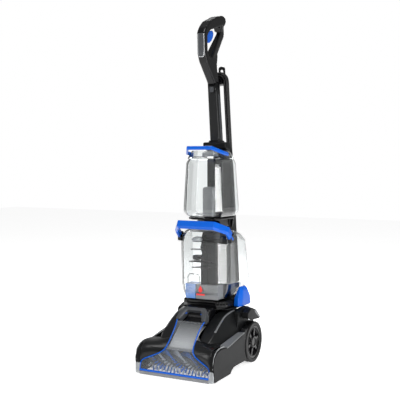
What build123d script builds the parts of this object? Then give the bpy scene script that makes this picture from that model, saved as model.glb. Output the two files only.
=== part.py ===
"""Upright carpet cleaner: a foot with a driven brush, a reclining upright, two tanks and a loop handle.

Millimetres. X runs to the user's right, -Y is the way the nozzle faces and +Z is up. The shapes are
drawn about the wheel axle (Y = 0) and the floor (Z = 0), and every node is moved together at the end,
so that Y = 0 becomes the middle of the machine's depth.
"""

import math
import os

from build123d import *

# ---- driving dimensions ----------------------------------------------------------------------------
skin = 3.0                # wall of a moulded shell
run_gap = 0.05            # radial clearance of a pin that turns in its hole
free_gap = 0.6            # gap between pieces that pass each other
foot_half = 116.5         # half width of the brush cover
panel_in, panel_out = 118.5, 133.0
nozzle_front = -290.0     # the window's lowest front edge
wheel_d = 130.0
wheel_in, wheel_out = 109.0, 135.0
tyre_t = 12.0
axle_r = 5.0
pivot_y, pivot_z = -10.0, 75.0
pivot_pin_r = 6.0
brush_y, brush_z = -236.0, 38.0
brush_core_r, brush_tip_r = 18.0, 36.5
tuft_r, tuft_pitch, tufts_per_row = 2.2, 14.0, 14
motor_y, motor_z, motor_r = -120.0, 60.0, 24.0
motor_pulley_r, brush_pulley_r = 8.0, 14.0
belt_t, belt_w = 2.0, 6.0
belt_x = -111.0           # left end of both pulleys
seat_z, seat_t, seat_wall_top = 184.0, 6.0, 203.0
body_half = 42.0          # half width of the housing behind the tanks
body_front, body_split = 10.0, 30.0
body_top = 704.0
lower_tank_z, lower_tank_top = 205.0, 430.0
upper_tank_z, upper_tank_top = 466.0, 665.0
tank_wall = 2.5
tube_half_low, tube_half_top = 18.0, 16.0
tube_low_z, tube_top_z = 686.0, 890.0
loop_half = 15.0          # half width of the loop handle
strut_half = 8.0          # half width of its rear strut
cord_d = 6.6
hank_inner, hank_band, hank_depth = 16.0, 14.0, 28.0
hook_low_z, hook_high_z = 495.0, 898.0
lean_deg = 7.3            # the back of the machine leans forward by this much

os.makedirs("parts", exist_ok=True)
lean = math.radians(lean_deg)
wheel_r = wheel_d / 2
hub_r = wheel_r - tyre_t
nodes = {}


# ---- drawing helpers -------------------------------------------------------------------------------
def side_prism(points, x0, x1, radius=0.0):
    """A solid drawn as a (Y, Z) outline and run from x0 to x1."""
    face = make_face(FilletPolyline(*points, radius=radius, close=True))
    return extrude(Plane.YZ.offset(x0) * face, x1 - x0)


def front_prism(points, y0, y1, radius=0.0):
    """A solid drawn as an (X, Z) outline and run from y0 back to y1."""
    face = make_face(FilletPolyline(*points, radius=radius, close=True))
    return extrude(Plane((0, y1, 0), x_dir=(1, 0, 0), z_dir=(0, -1, 0)) * face, y1 - y0)


def plan_prism(points, z0, z1, radius=0.0):
    """A solid drawn as an (X, Y) outline and run from z0 up to z1."""
    face = make_face(FilletPolyline(*points, radius=radius, close=True))
    return extrude(Plane.XY.offset(z0) * face, z1 - z0)


def block(x0, x1, y0, y1, z0, z1):
    return Pos((x0 + x1) / 2, (y0 + y1) / 2, (z0 + z1) / 2) * Box(x1 - x0, y1 - y0, z1 - z0)


def rod_x(y, z, r, x0, x1):
    return Pos((x0 + x1) / 2, y, z) * Rot(0, 90, 0) * Cylinder(r, x1 - x0)


def rod_z(x, y, r, z0, z1):
    return Pos(x, y, (z0 + z1) / 2) * Cylinder(r, z1 - z0)


def mirror_x(points):
    """The right half of a symmetric (X, ...) outline, closed by its own mirror image."""
    return points + [(-x, v) for x, v in reversed(points)]


def offset_line(points, distance):
    """An open line moved to its left by a distance, with mitred corners."""
    moved = []
    for i, (a, b) in enumerate(points):
        before = points[max(i - 1, 0)]
        after = points[min(i + 1, len(points) - 1)]
        first = math.atan2(b - before[1], a - before[0]) if i else None
        last = math.atan2(after[1] - b, after[0] - a) if i < len(points) - 1 else None
        first = last if first is None else first
        last = first if last is None else last
        middle = (first + last) / 2
        reach = distance / math.cos((last - first) / 2)
        moved.append((a - reach * math.sin(middle), b + reach * math.cos(middle)))
    return moved


def band(points, outer, inner, x0, x1):
    """A sheet that follows an open (Y, Z) line, between two offsets from it."""
    ring = offset_line(points, outer) + offset_line(points, inner)[::-1]
    return side_prism(ring, x0, x1)


def mirrored(solid):
    return mirror(solid, about=Plane.YZ)


def group(solids):
    """Separate solids kept in one node."""
    return Compound(list(solids))


def add_node(name, shape):
    nodes[name] = shape


# ---- foot: sole, chassis and covers ----------------------------------------------------------------
window_line = [
    (nozzle_front, 14), (nozzle_front + 9, 46), (-252, 84), (-205, 132), (-165, 168), (-130, 190),
]
window_half = mirror_x([(117.5, 10), (117.5, 42), (92, 55), (58, 71), (47, 86), (45, 140), (53, 158)])
trim_half = mirror_x([(114, 16), (114, 40), (90, 51.5), (55.5, 67), (43.5, 84), (41.5, 140), (49, 161)])
cover_line = [
    (nozzle_front + 5, 20), (nozzle_front + 5, 66), (nozzle_front + 14, 84), (-258, 96), (-236, 101),
    (-205, 101), (-110, 110), (-62, 118),
]
window_t, trim_t = 3.0, 0.9
window_radii = [0, 6, 20, 20, 14, 60, 6, 6, 60, 14, 20, 20, 6, 0]


def window_cut(points, y1=-100):
    return front_prism(points, nozzle_front - 20, y1, radius=window_radii)


nozzle_window = band(window_line, 0, -window_t, -120, 120) & window_cut(window_half)
add_node("nozzle_window", nozzle_window)
trim_sheet = band(window_line, trim_t, 0, -120, 120)
add_node("window_trim", trim_sheet & (window_cut(window_half) - window_cut(trim_half)))

sole_z = 5.0
sole = block(-112, 112, nozzle_front + 6, nozzle_front + 18, 0, sole_z)
lip = block(-117.5, 117.5, nozzle_front - 1, nozzle_front + 18, sole_z, 13.5)
add_node("nozzle_lip", sole + lip - nozzle_window)

cover_sheet = band(cover_line, 0, -skin, -foot_half, foot_half)
cover_opening = front_prism(
    mirror_x([(118.5, -10), (118.5, 43), (93, 57), (60, 73), (49, 88), (49, 220)]), nozzle_front - 20, -150
)
cheek_in, cheek_out = 52.0, 100.0
cheek_clear = block(-cheek_out - free_gap, cheek_out + free_gap, -222, 40, 60, 240)
bridge = block(-60, 60, -232, -224, 82, 86)
for x in (-60, 49.3):
    bridge += block(x, x + 10.7, -232, -224, 82, 99)
add_node("foot_cover", cover_sheet - cover_opening - cheek_clear + bridge)

cheek_line = [
    (-218, 92), (-214, 104), (-185, 127), (-119, 163), (-60, 173), (-26, 174), (4, 164), (22, 138), (22, 92),
]
cheek_core = [
    (-211, 80), (-209, 103), (-184, 123), (-118, 159.5), (-60, 170),
    (-27, 171), (2, 161), (19, 137), (19, 80),
]
cheek_radii = [0, 6, 20, 60, 60, 30, 20, 12, 0]


def cheek():
    shell = side_prism(cheek_line, cheek_in, cheek_out, radius=cheek_radii)
    shell -= side_prism(cheek_core, cheek_in + skin, cheek_out - skin)
    return shell - rod_x(pivot_y, pivot_z, pivot_pin_r + free_gap, cheek_in - 1, cheek_out + 1)


add_node("cheek_right", cheek())
add_node("cheek_left", mirrored(cheek()))

arch_r = wheel_r + 4
panel_line = [
    (nozzle_front + 4, 5), (nozzle_front - 2, 52), (nozzle_front + 6, 76), (-262, 93), (-236, 101),
    (-205, 101), (-110, 110), (-48, 146), (-4, 146), (30, 131), (36, 118), (0, 21), (-150, 21), (-176, 5),
]
panel_core = [
    (nozzle_front + 7, 8), (nozzle_front + 1, 52), (nozzle_front + 9, 74), (-260, 90), (-236, 98),
    (-206, 98), (-112, 107), (-60, 136), (-60, 24), (-151, 24), (-177, 8),
]
panel_radii = [4, 30, 14, 20, 20, 20, 20, 10, 20, 4, 4, 0, 20, 20]
# the space that the pedal's underside sweeps when it is pressed
pedal_room = [
    (-52, 146), (-40, 143.6), (-29, 140.8), (4, 130.6), (60, 119), (60, 190), (-52, 190),
]


def side_panel():
    panel = side_prism(panel_line, panel_in, panel_out, radius=panel_radii)
    panel -= side_prism(panel_core, panel_in - 1, panel_out - skin)
    panel -= side_prism(pedal_room, panel_in - 1, panel_out + 1)
    return panel - rod_x(0, wheel_r, arch_r, panel_in - 2, panel_out + 2)


add_node("side_panel_right", side_panel())
add_node("side_panel_left", mirrored(side_panel()))

channel_sheet = band(window_line[2:5], -window_t - 12, -window_t - 15, -43, 43)
channel_walls = band(window_line[2:5], -window_t - 0.3, -window_t - 15, -43, 43)
channel_walls -= block(-40, 40, -300, 0, 0, 300)
channel_keep = block(-60, 60, -222, -178, 0, 300)
add_node("suction_channel", (channel_sheet + channel_walls) & channel_keep)

collar_half = 49.0
collar = side_prism(
    [(-172, 146), (-177, 163), (-150, 183), (-128, 194), (-113, 194), (-110, 146)], -collar_half, collar_half
)
collar -= front_prism(mirror_x([(31, 152), (31, 168), (24, 181)]), -190, -122, radius=[0, 8, 8, 8, 8, 0])
collar -= nozzle_window
add_node("neck_collar", collar)

side_wall_x = 112.5
wall_y = -196.0           # the wall behind the brush
pan = block(-foot_half + 1, foot_half - 1, wall_y, -70, 21, 25) + block(-107, 107, -70, 24, 21, 25)
chamber_wall = block(-foot_half + 1, foot_half - 1, wall_y, wall_y + skin, 10, 84)
chamber_wall -= block(belt_x - 4, belt_x + belt_w + 4, wall_y - 1, wall_y + 5, 24, 72)
bearing_wall = side_prism(
    [(-264, 22), (-268, 50), (-256, 80), (-236, 94), (wall_y, 94), (wall_y, 10), (-240, 10)],
    side_wall_x, foot_half - 1,
)
brush_pin_r = 4.0
bearing_wall -= rod_x(brush_y, brush_z, brush_pin_r + run_gap, side_wall_x - 1, foot_half + 1)
rear_wall = side_prism(
    [(-98, 25), (-98, 96), (-60, 112), (-40, 134), (-2, 134), (26, 112), (36, 70), (24, 25)], 103.5, 107
)
axle_in = 84.0
stub_block = side_prism([(-16, 25), (-12, 76), (12, 76), (16, 25)], axle_in, 94)
stub_block -= rod_x(0, wheel_r, axle_r, axle_in - 1, 95)
rear_wall -= rod_x(0, wheel_r, axle_r, 100, 110)
pin_bracket = side_prism([(-36, 25), (-24, 92), (4, 92), (16, 25)], 62, 70)
pin_bracket -= rod_x(pivot_y, pivot_z, pivot_pin_r, 60, 72)
right_side = bearing_wall + rear_wall + stub_block + pin_bracket
foot_base = pan + chamber_wall + right_side + mirrored(right_side)
foot_base -= mirrored(rod_x(motor_y, motor_z, 6, 99, 114))
add_node("foot_base", foot_base)

pin_end = 72.0
add_node("pivot_pin", rod_x(pivot_y, pivot_z, pivot_pin_r, -pin_end, pin_end))
stub_axle = rod_x(0, wheel_r, axle_r, axle_in, 128)
add_node("wheel_axles", group([stub_axle, mirrored(stub_axle)]))

spray_y, spray_z, spray_r = -184.0, 62.0, 5.0
spray_bar = rod_x(spray_y, spray_z, spray_r, -96, 96)
for x in (-75, -25, 25, 75):
    spray_bar += rod_z(x, spray_y, 3, spray_z - 11, spray_z)
add_node("spray_bar", spray_bar)

screw_spots = [(x, y) for x in (-90, -30, 30, 90) for y in (-180, -84)]
foot_screw_r = 2.0
add_node("foot_screws", group(rod_z(x, y, 2 * foot_screw_r, 18.4, 21) for x, y in screw_spots))

# ---- foot: brush drive -----------------------------------------------------------------------------
motor_right = -18.0
motor_left = belt_x + belt_w + 5
motor_pin_r = 3.0
brush_motor = rod_x(motor_y, motor_z, motor_r, motor_left, motor_right)
brush_motor += block(motor_left + 10, motor_right - 10, motor_y - 20, motor_y + 20, 25, motor_z - 10)
brush_motor -= rod_x(motor_y, motor_z, motor_pin_r + run_gap, motor_left - 1, motor_left + 20)
add_node("brush_motor", brush_motor)
motor_pulley = rod_x(motor_y, motor_z, motor_pulley_r, belt_x, belt_x + belt_w)
motor_pulley += rod_x(motor_y, motor_z, motor_pin_r, belt_x, motor_left + 18)
add_node("motor_pulley", motor_pulley)
brush_pulley = rod_x(brush_y, brush_z, brush_pulley_r, belt_x, belt_x + belt_w)
core_left, core_right = belt_x + belt_w, 108.0
add_node("brush_pulley", brush_pulley - rod_x(brush_y, brush_z, brush_pin_r, -120, 0))
brush_core = rod_x(brush_y, brush_z, brush_core_r, core_left, core_right)
brush_core += rod_x(brush_y, brush_z, brush_pin_r, -foot_half + 1, foot_half - 1)
add_node("brush_core", brush_core)


def belt_outline(extra):
    """The area inside a belt round both pulleys, grown by a thickness."""
    span = math.hypot(brush_y - motor_y, brush_z - motor_z)
    tilt = math.atan2(motor_z - brush_z, motor_y - brush_y)
    drop = math.acos((brush_pulley_r - motor_pulley_r) / span)
    rb, rm = brush_pulley_r + extra, motor_pulley_r + extra
    corners = []
    for side in (1, -1):
        angle = tilt + side * drop
        corners.append((brush_y + rb * math.cos(angle), brush_z + rb * math.sin(angle)))
        corners.append((motor_y + rm * math.cos(angle), motor_z + rm * math.sin(angle)))
    ring = [corners[0], corners[1], corners[3], corners[2]]
    middle = side_prism(ring, belt_x, belt_x + belt_w)
    ends = rod_x(brush_y, brush_z, rb, belt_x, belt_x + belt_w)
    return middle + ends + rod_x(motor_y, motor_z, rm, belt_x, belt_x + belt_w)


belt_slack = 0.3          # the belt stays clear of the pulleys that turn inside it
add_node("drive_belt", belt_outline(belt_slack + belt_t) - belt_outline(belt_slack))


def tuft_rows(phases):
    """Rows of bristle tufts that wind round the brush core."""
    first = -tuft_pitch * (tufts_per_row - 1) / 2
    tufts = []
    for phase in phases:
        for i in range(tufts_per_row):
            x = first + i * tuft_pitch
            turn = phase + 210 * i / (tufts_per_row - 1)
            tuft = Pos(0, 0, (brush_core_r + brush_tip_r) / 2 - 0.25)
            tuft *= Cylinder(tuft_r, brush_tip_r - brush_core_r + 0.5)
            tufts.append(Pos(x, brush_y, brush_z) * Rot(turn, 0, 0) * tuft)
    return group(tufts)


add_node("bristles_white", tuft_rows([0, 180]))
add_node("bristles_blue", tuft_rows([90, 270]))

# ---- wheels and pedal ------------------------------------------------------------------------------
tyre = rod_x(0, wheel_r, wheel_r, wheel_in, wheel_out)
tyre = fillet(tyre.edges(), 5) - rod_x(0, wheel_r, hub_r, wheel_in - 1, wheel_out + 1)
hub = rod_x(0, wheel_r, hub_r, wheel_in + 2, wheel_out - 3)
hub -= rod_x(0, wheel_r, hub_r - 8, wheel_out - 8, wheel_out)
hub += rod_x(0, wheel_r, 19, wheel_out - 9, wheel_out - 2)
hub -= rod_x(0, wheel_r, axle_r + run_gap, wheel_in, 128.5)
add_node("wheel_hub_right", hub)
add_node("wheel_tyre_right", tyre)
add_node("wheel_hub_left", mirrored(hub))
add_node("wheel_tyre_left", mirrored(tyre))

pedal_pivot_y, pedal_pivot_z = -42.0, 160.0
pedal_in, pedal_out = 110.0, 133.0
pedal = side_prism(
    [(-48, 152), (-46, 166), (-20, 180), (12, 168), (48, 138), (44, 133), (4, 136.5), (-30, 144)],
    pedal_in, pedal_out, radius=[3, 4, 16, 16, 3, 3, 10, 3],
)
spring_x, spring_y, spring_r = 122.0, -18.0, 4.0
spring_low, spring_high = 138.7, 152.0
pedal -= rod_z(spring_x, spring_y, spring_r + 0.6, 130, spring_high + 0.1)
add_node("recline_pedal", pedal - rod_x(pedal_pivot_y, pedal_pivot_z, 2.5 + run_gap, 100, 129))
pedal_mount = side_prism([(-54, 118), (-54, 165), (-36, 165), (-30, 128)], 103.5, pedal_in - 0.6)
pedal_mount += rod_x(pedal_pivot_y, pedal_pivot_z, 2.5, 103.5, 128)
nodes["foot_base"] = nodes["foot_base"] + pedal_mount
add_node("pedal_spring", rod_z(spring_x, spring_y, spring_r, spring_low, spring_high))

# ---- upright: seat, yoke, housing ------------------------------------------------------------------
seat_line = mirror_x([(52, -105), (78, -84), (82, 40), (62, 88)])
seat_hollow = mirror_x([(50, -101), (74, -82), (78, 38), (60, 84)])
tank_seat = plan_prism(seat_line, seat_z, seat_wall_top, radius=6)
tank_seat -= plan_prism(seat_hollow, seat_z + seat_t, seat_wall_top + 1, radius=4)
tank_seat -= block(-body_half, body_half, body_front, 100, seat_z + seat_t, seat_wall_top + 1)
add_node("tank_seat", tank_seat)

ear_in, ear_out = 30.0, 48.0
yoke_eye_r = 26.0
ear = rod_x(pivot_y, pivot_z, yoke_eye_r, ear_in, ear_out)
ear += side_prism([(-34, 84), (-44, seat_z), (36, seat_z), (14, 84)], ear_in, ear_out)
yoke = ear + mirrored(ear) + rod_x(pivot_y, pivot_z, pivot_pin_r + 8, -ear_in, ear_in)
add_node("pivot_yoke", yoke - rod_x(pivot_y, pivot_z, pivot_pin_r + run_gap, -60, 60))

body_foot_z = seat_z + seat_t
body_line = [
    (body_front, body_foot_z), (body_front, 674), (-19, 683), (-22, body_top), (15, body_top),
    (36, 672), (58, 500), (90, 250), (90, body_foot_z),
]
body_core = [
    (body_front + skin, body_foot_z + skin), (body_front + skin, 668), (32, 668), (58 - skin, 500),
    (90 - skin, 249), (90 - skin, body_foot_z + skin),
]
body_shell = side_prism(body_line, -body_half, body_half, radius=[0, 0, 8, 0, 0, 10, 0, 20, 0])
body_shell -= side_prism(body_core, -body_half + skin, body_half - skin)


def tube_solid(wall):
    """The tapered handle tube, or the space inside it when wall is its thickness."""
    low = tube_half_low - wall
    top = tube_half_top - wall
    low_z, top_z = tube_low_z - wall / 2, tube_top_z + wall / 2

    def section(half, z, front, rear):
        depth = rear - front - 2 * wall
        place = Plane((0, (front + rear) / 2, z))
        return place * RectangleRounded(2 * half, depth, 5 if wall == 0 else 2.5)

    return loft([section(low, low_z, -14.5, 14.5), section(top, top_z, -40, -7.5)])


tube_wall = 3.0
tube_full = tube_solid(0)
button_z, button_half = 871.0, 7.0
button_hole = block(-button_half - 0.4, button_half + 0.4, -60, -24, button_z - 9.4, button_z + 9.4)
add_node("handle_tube", tube_full - tube_solid(tube_wall) - button_hole)
body_shell -= tube_full
screw_heights = [230.0, 330.0, 450.0, 560.0]
body_screw_x, body_screw_r = 32.0, 3.0


def rear_y(z):
    """The housing's back, which stands upright low down and leans forward above."""
    if z <= 250:
        return 90.0
    if z <= 500:
        return 90 - (z - 250) * (90 - 58) / 250
    return 58 - (z - 500) * (58 - 36) / 172


screw_solids = [
    Pos(side * body_screw_x, rear_y(z) - 2, z) * Rot(90, 0, 0) * Cylinder(body_screw_r, 5)
    for z in screw_heights for side in (1, -1)
]
add_node("body_screws", group(screw_solids))
front_room = block(-60, 60, -60, body_split, 150, 720)
housing_rear = body_shell - front_room
for screw in screw_solids:
    housing_rear -= screw
add_node("housing_front", body_shell & front_room)
add_node("housing_rear", housing_rear)

ledge_z, ledge_top = 433.0, upper_tank_z - 0.5
tank_ledge = side_prism(
    [(body_front, ledge_z), (body_front, ledge_top), (-104, ledge_top), (-104, ledge_top - 7),
     (-60, ledge_top - 12), (-52, ledge_z)], -38, 38, radius=[0, 0, 3, 3, 8, 8],
)
add_node("tank_ledge", tank_ledge)

fan_y, fan_r, fan_z = 44.0, 26.0, 342.0
vacuum_motor = rod_z(0, fan_y, 28, body_foot_z + skin + 20, 332)
vacuum_motor += rod_z(0, fan_y, 20, body_foot_z + skin, body_foot_z + skin + 20)
shaft_r = 4.0
vacuum_motor -= rod_z(0, fan_y, shaft_r + run_gap, 280, 340)
add_node("vacuum_motor", vacuum_motor)
impeller = rod_z(0, fan_y, fan_r, fan_z, fan_z + 2) + rod_z(0, fan_y, 8, fan_z, fan_z + 16)
blade = Pos(17, 0, fan_z + 8.5) * Box(17, 1.6, 15)
for i in range(9):
    impeller += Pos(0, fan_y, 0) * Rot(0, 0, i * 40) * blade
add_node("fan_impeller", impeller + rod_z(0, fan_y, shaft_r, 284, fan_z))
pump = block(-18, 18, 16, 52, 378, 404) + rod_z(0, 34, 12, 404, 424)
add_node("water_pump", pump)

cover_x, cover_hinge_y = 88.0, 44.0
port_cover = front_prism(
    [(94, 181), (103, 184), (105, 204), (99, 240), (95, 242), (99.5, 205), (98, 189)], -40, 42,
)
cover_side = [(-40, 183), (-24, 243), (6, 243), (42, 200), (42, 181), (-32, 179)]
port_cover = port_cover & side_prism(cover_side, 90, 108)
hinge_arm = block(87, 97, 40, 46, 186, 200)
port_cover += hinge_arm
port_cover += rod_z(cover_x, cover_hinge_y, 4, 186, 200)
add_node("port_cover", port_cover - rod_z(cover_x, cover_hinge_y, 2 + run_gap, 180, 205))
hinge_lug = block(78, 86, 36, 39, 184, 203) + block(82, 91, 36, 47.5, 184, 185.6)
hinge_lug += block(82, 91, 36, 47.5, 200.4, 202) + rod_z(cover_x, cover_hinge_y, 2, 184.5, 201)
nodes["tank_seat"] = nodes["tank_seat"] + hinge_lug

# ---- loop handle -----------------------------------------------------------------------------------
loop_line = [
    (-40, 890), (-99, 951), (-112, 976), (-115, 1040), (-105, 1056), (-78, 1076), (-10, 1100),
    (30, 1110), (39, 1090), (31, 1080), (39, 1056), (35, 1044), (-34, 958), (-8, 890),
]
loop_radii = [0, 30, 20, 20, 10, 20, 60, 5, 5, 4, 8, 10, 60, 0]
hole_line = [(-92, 984), (-93, 1032), (-72, 1054), (0, 1074), (9, 1056), (-64, 970), (-80, 966)]
hole_radii = [10, 8, 14, 6, 6, 8, 8]
trigger_y, trigger_z = -82.0, 1046.0
trigger_half = 8.0
trigger_line = [
    (-88, 1042), (-84, 1049), (-70, 1053.5), (-40, 1061.5),
    (-36, 1054), (-52, 1038), (-72, 1022), (-84, 1022),
]
trigger = side_prism(trigger_line, -trigger_half, trigger_half, radius=[2, 2, 2, 2, 3, 10, 5, 4])
trigger_bore = rod_x(trigger_y, trigger_z, 2 + run_gap, -20, 20)
pocket = side_prism(
    [(-91, 1038), (-91, 1052), (-70, 1061), (-36, 1070), (-30, 1060), (-60, 1030)],
    -trigger_half - free_gap, trigger_half + free_gap,
)
loop = side_prism(loop_line, -loop_half, loop_half, radius=loop_radii)
loop -= side_prism(hole_line, -loop_half - 1, loop_half + 1, radius=hole_radii)
loop = fillet(loop.edges().filter_by(lambda edge: abs(edge.center().X) > loop_half - 0.1), 3.5)
strut_side = side_prism([(-46, 992), (-20, 976), (60, 1000), (60, 1070), (-10, 1070)], strut_half, 20)
loop = loop - strut_side - mirrored(strut_side) - pocket
rod_line_low, rod_line_top = 712.0, 930.0


def tube_mid(z):
    """The tube's middle, which goes on in a straight line into the handle."""
    share = (z - tube_low_z) / (tube_top_z - tube_low_z)
    return share * -23.75


rod_r = 2.5
rod_span = math.hypot(rod_line_top - rod_line_low, tube_mid(rod_line_top) - tube_mid(rod_line_low))
rod_drift = tube_mid(rod_line_low) - tube_mid(rod_line_top)
rod_tilt = math.degrees(math.atan2(rod_drift, rod_line_top - rod_line_low))
rod_middle = (rod_line_low + rod_line_top) / 2
rod_place = Pos(0, tube_mid(rod_middle), rod_middle) * Rot(rod_tilt, 0, 0)
loop -= rod_place * Pos(0, 0, 20) * Cylinder(rod_r + free_gap, rod_span)
upper_hook_at = (0, -8.2, hook_high_z)
hook_plane = Plane(upper_hook_at, x_dir=(1, 0, 0), z_dir=(0, math.cos(lean), math.sin(lean)))
spigot_r = 5.0
loop -= extrude(hook_plane.offset(-14) * Circle(spigot_r + run_gap), 30)
half_space = block(0, 40, -200, 100, 880, 1120)
tube_plug = tube_full & block(-40, 40, -100, 100, 880, 900)
loop -= tube_plug
loop += rod_x(trigger_y, trigger_z, 2, -trigger_half - 2, trigger_half + 2)
add_node("handle_shell_right", loop & half_space)
add_node("handle_shell_left", loop - half_space)
nodes["handle_tube"] = nodes["handle_tube"] - rod_place * Pos(0, 0, 20) * Cylinder(rod_r + free_gap, rod_span)
nodes["handle_tube"] = nodes["handle_tube"] - extrude(hook_plane.offset(-14) * Circle(spigot_r + run_gap), 30)
add_node("trigger", trigger - trigger_bore)
add_node("trigger_rod", rod_place * Cylinder(rod_r, rod_span))
badge = band(loop_line[2:4], 2.0, -1.0, -9, 9)
badge &= front_prism(mirror_x([(9, 979), (9, 1030), (5, 1037)]), -125, -100, radius=2)
add_node("badge_panel", badge - loop)
button = block(-button_half, button_half, -40.5, -35, button_z - 9, button_z + 9)
add_node("power_button", fillet(button.edges().filter_by(Axis.Y), 2))

# ---- cord, its hooks and plug ----------------------------------------------------------------------
hank_slant = math.tan(lean)
hank_front = 8.9          # the hank's front at the upper hook


def hank_y(z):
    """The front of the hank, which hangs a little off the leaning back of the machine."""
    return hank_front + (hook_high_z - z) * hank_slant


stem_to_hank = (hank_front - upper_hook_at[1]) / math.cos(lean)
high_centre = hook_plane.offset(stem_to_hank).origin
high_plane = Plane(high_centre, x_dir=(1, 0, 0), z_dir=(0, -math.cos(lean), -math.sin(lean)))
hook_span = (hook_high_z - hook_low_z) / math.cos(lean)
stem_r = hank_inner - 0.5


def racetrack(r):
    """Two half rounds about the hooks, joined by straight legs: a face on the hank's own plane."""
    return SlotCenterToCenter(hook_span, 2 * r, rotation=90)


hank_face = Pos(0, -hook_span / 2) * (racetrack(hank_inner + hank_band) - racetrack(hank_inner))
cord_hank = extrude(high_plane * hank_face, -hank_depth)
add_node("cord_hank", fillet(cord_hank.edges(), 4))

hook_reach = stem_to_hank + hank_depth + 1.5
stem = extrude(hook_plane.offset(1.5) * Circle(stem_r), hook_reach)
hoop_face = Pos(0, -16) * RectangleRounded(22, 62, 9) - Pos(0, -24) * RectangleRounded(11, 26, 5)
hoop = extrude(hook_plane.offset(hook_reach) * hoop_face, 5)
spigot = extrude(hook_plane.offset(-12) * Circle(spigot_r), 14)
add_node("cord_hook_upper", stem + hoop + spigot)

low_centre = high_centre + Vector(0, math.sin(lean), -math.cos(lean)) * hook_span
low_plane = Plane(low_centre, x_dir=(1, 0, 0), z_dir=hook_plane.z_dir)
low_reach = hank_depth + 1.5
low_stem = extrude(low_plane.offset(-8) * Circle(stem_r), low_reach + 8)
low_lip = extrude(low_plane.offset(low_reach) * (Pos(0, 14) * RectangleRounded(22, 56, 9)), 4.5)
housing_block = side_prism(body_line, -body_half, body_half)
add_node("cord_hook_lower", (low_stem + low_lip) - housing_block)

cord_x = hank_inner + hank_band / 2
hank_mid = hank_depth / 2 / math.cos(lean)
gland_low, gland_top = 392.0, 424.0
gland_y = rear_y(gland_top) + 10.0
gland = Pos(6, gland_y, (gland_low + gland_top) / 2) * Cone(7.5, cord_d / 2 + 1.2, gland_top - gland_low)
gland += block(-1, 13, rear_y(gland_top) - 6, gland_y, gland_low - 6, gland_low + 10)
gland -= housing_block
gland -= rod_z(6, gland_y, cord_d / 2, gland_top - 4, gland_top + 1)
add_node("strain_relief", gland)

cord_end = Vector(cord_x, hank_y(474) + hank_mid, 476.5)
cord_points = [
    Vector(6, gland_y, gland_top - 4), Vector(6, gland_y, 440), Vector(15, gland_y + 1.5, 459), cord_end,
]


def corner_radii(points):
    """The largest arc that each corner of the cord's route has room for."""
    radii = []
    for a, b, c in zip(points, points[1:], points[2:]):
        turn = (b - a).get_angle(c - b)
        shorter = min((b - a).length, (c - b).length)
        radii.append(0.45 * shorter / math.tan(math.radians(turn / 2)))
    return radii


cord_radii = corner_radii(cord_points)
cord_path = FilletPolyline(*cord_points, radius=cord_radii)
cord_start = Plane(cord_points[0], z_dir=cord_points[1] - cord_points[0])
power_cord = sweep(cord_start * Circle(cord_d / 2), path=cord_path)
add_node("power_cord", power_cord)
print("cord arc radii", [round(r, 1) for r in cord_radii])
print("cord tube volume over section times length", round(
    power_cord.volume / (math.pi * (cord_d / 2) ** 2 * cord_path.length), 4))
turn_length = 2 * hook_span + 2 * math.pi * cord_x
print("one hank turn", round(turn_length, 1), "tube length", round(cord_path.length, 1))

plug_y = hank_y(450) + hank_mid
power_plug = fillet(block(-cord_x - 10, -cord_x + 10, plug_y - 8, plug_y + 8, 428, 458).edges(), 3)
power_plug += Pos(-cord_x, plug_y, 468) * Cone(6.5, 4.2, 22)
for x in (-6.35, 6.35):
    power_plug += block(-cord_x + x - 0.75, -cord_x + x + 0.75, plug_y - 3.2, plug_y + 3.2, 411, 430)
add_node("power_plug", power_plug)

# ---- tanks -----------------------------------------------------------------------------------------
def ring_face(half_points, z, inset=0.0):
    """One level of a tank: its right half's corners, pulled in by a wall."""
    points = mirror_x([(x - inset, y + (inset if y < -40 else -inset)) for x, y in half_points])
    return Plane.XY.offset(z) * make_face(Polyline(*points, close=True))


def tank_body(levels, inset=0.0, floor=0.0, top=0.0):
    """A straight-sided loft through a tank's levels."""
    faces = []
    last = len(levels) - 1
    for i, (z, half_points) in enumerate(levels):
        height = z + floor if i == 0 else z + top if i == last else z
        faces.append(ring_face(half_points, height, inset))
    return loft(faces, ruled=True)


lower_levels = [
    (lower_tank_z, [(50, -100), (64, -85), (70, 28), (54, 36)]),
    (232, [(58, -112), (75, -92), (78, 34), (60, 44)]),
    (262, [(60, -117), (80, -93), (104, 36), (80, 48)]),
    (392, [(60, -121), (80, -94), (96, 14), (76, 26)]),
    (412, [(57, -117), (77, -91), (88, -4), (66, 6)]),
    (424, [(50, -106), (68, -84), (76, -30), (56, -18)]),
]
spine_gap = 3.5
spine_room = block(-body_half - spine_gap, body_half + spine_gap, body_front - spine_gap, 120, 190, 480)
spine_wall = block(
    -body_half - spine_gap - tank_wall, body_half + spine_gap + tank_wall,
    body_front - spine_gap - tank_wall, 120, 190, 480)
lower_outer = tank_body(lower_levels) - spine_room
lower_inner = tank_body(lower_levels, tank_wall, floor=tank_wall, top=1) - spine_wall
mouth = front_prism(mirror_x([(44, 400), (44, 440)]), -100, -30)
dirty_tank = lower_outer - lower_inner
add_node("dirty_tank", dirty_tank - (mouth & lower_outer))
lid_z = 424.3
dirty_lid = plan_prism(mirror_x(lower_levels[-1][1]), lid_z, lower_tank_top, radius=4)
dirty_lid += plan_prism(mirror_x([(40, -96), (40, -34)]), lid_z - 10, lid_z, radius=4)
add_node("dirty_tank_lid", dirty_lid)

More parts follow.
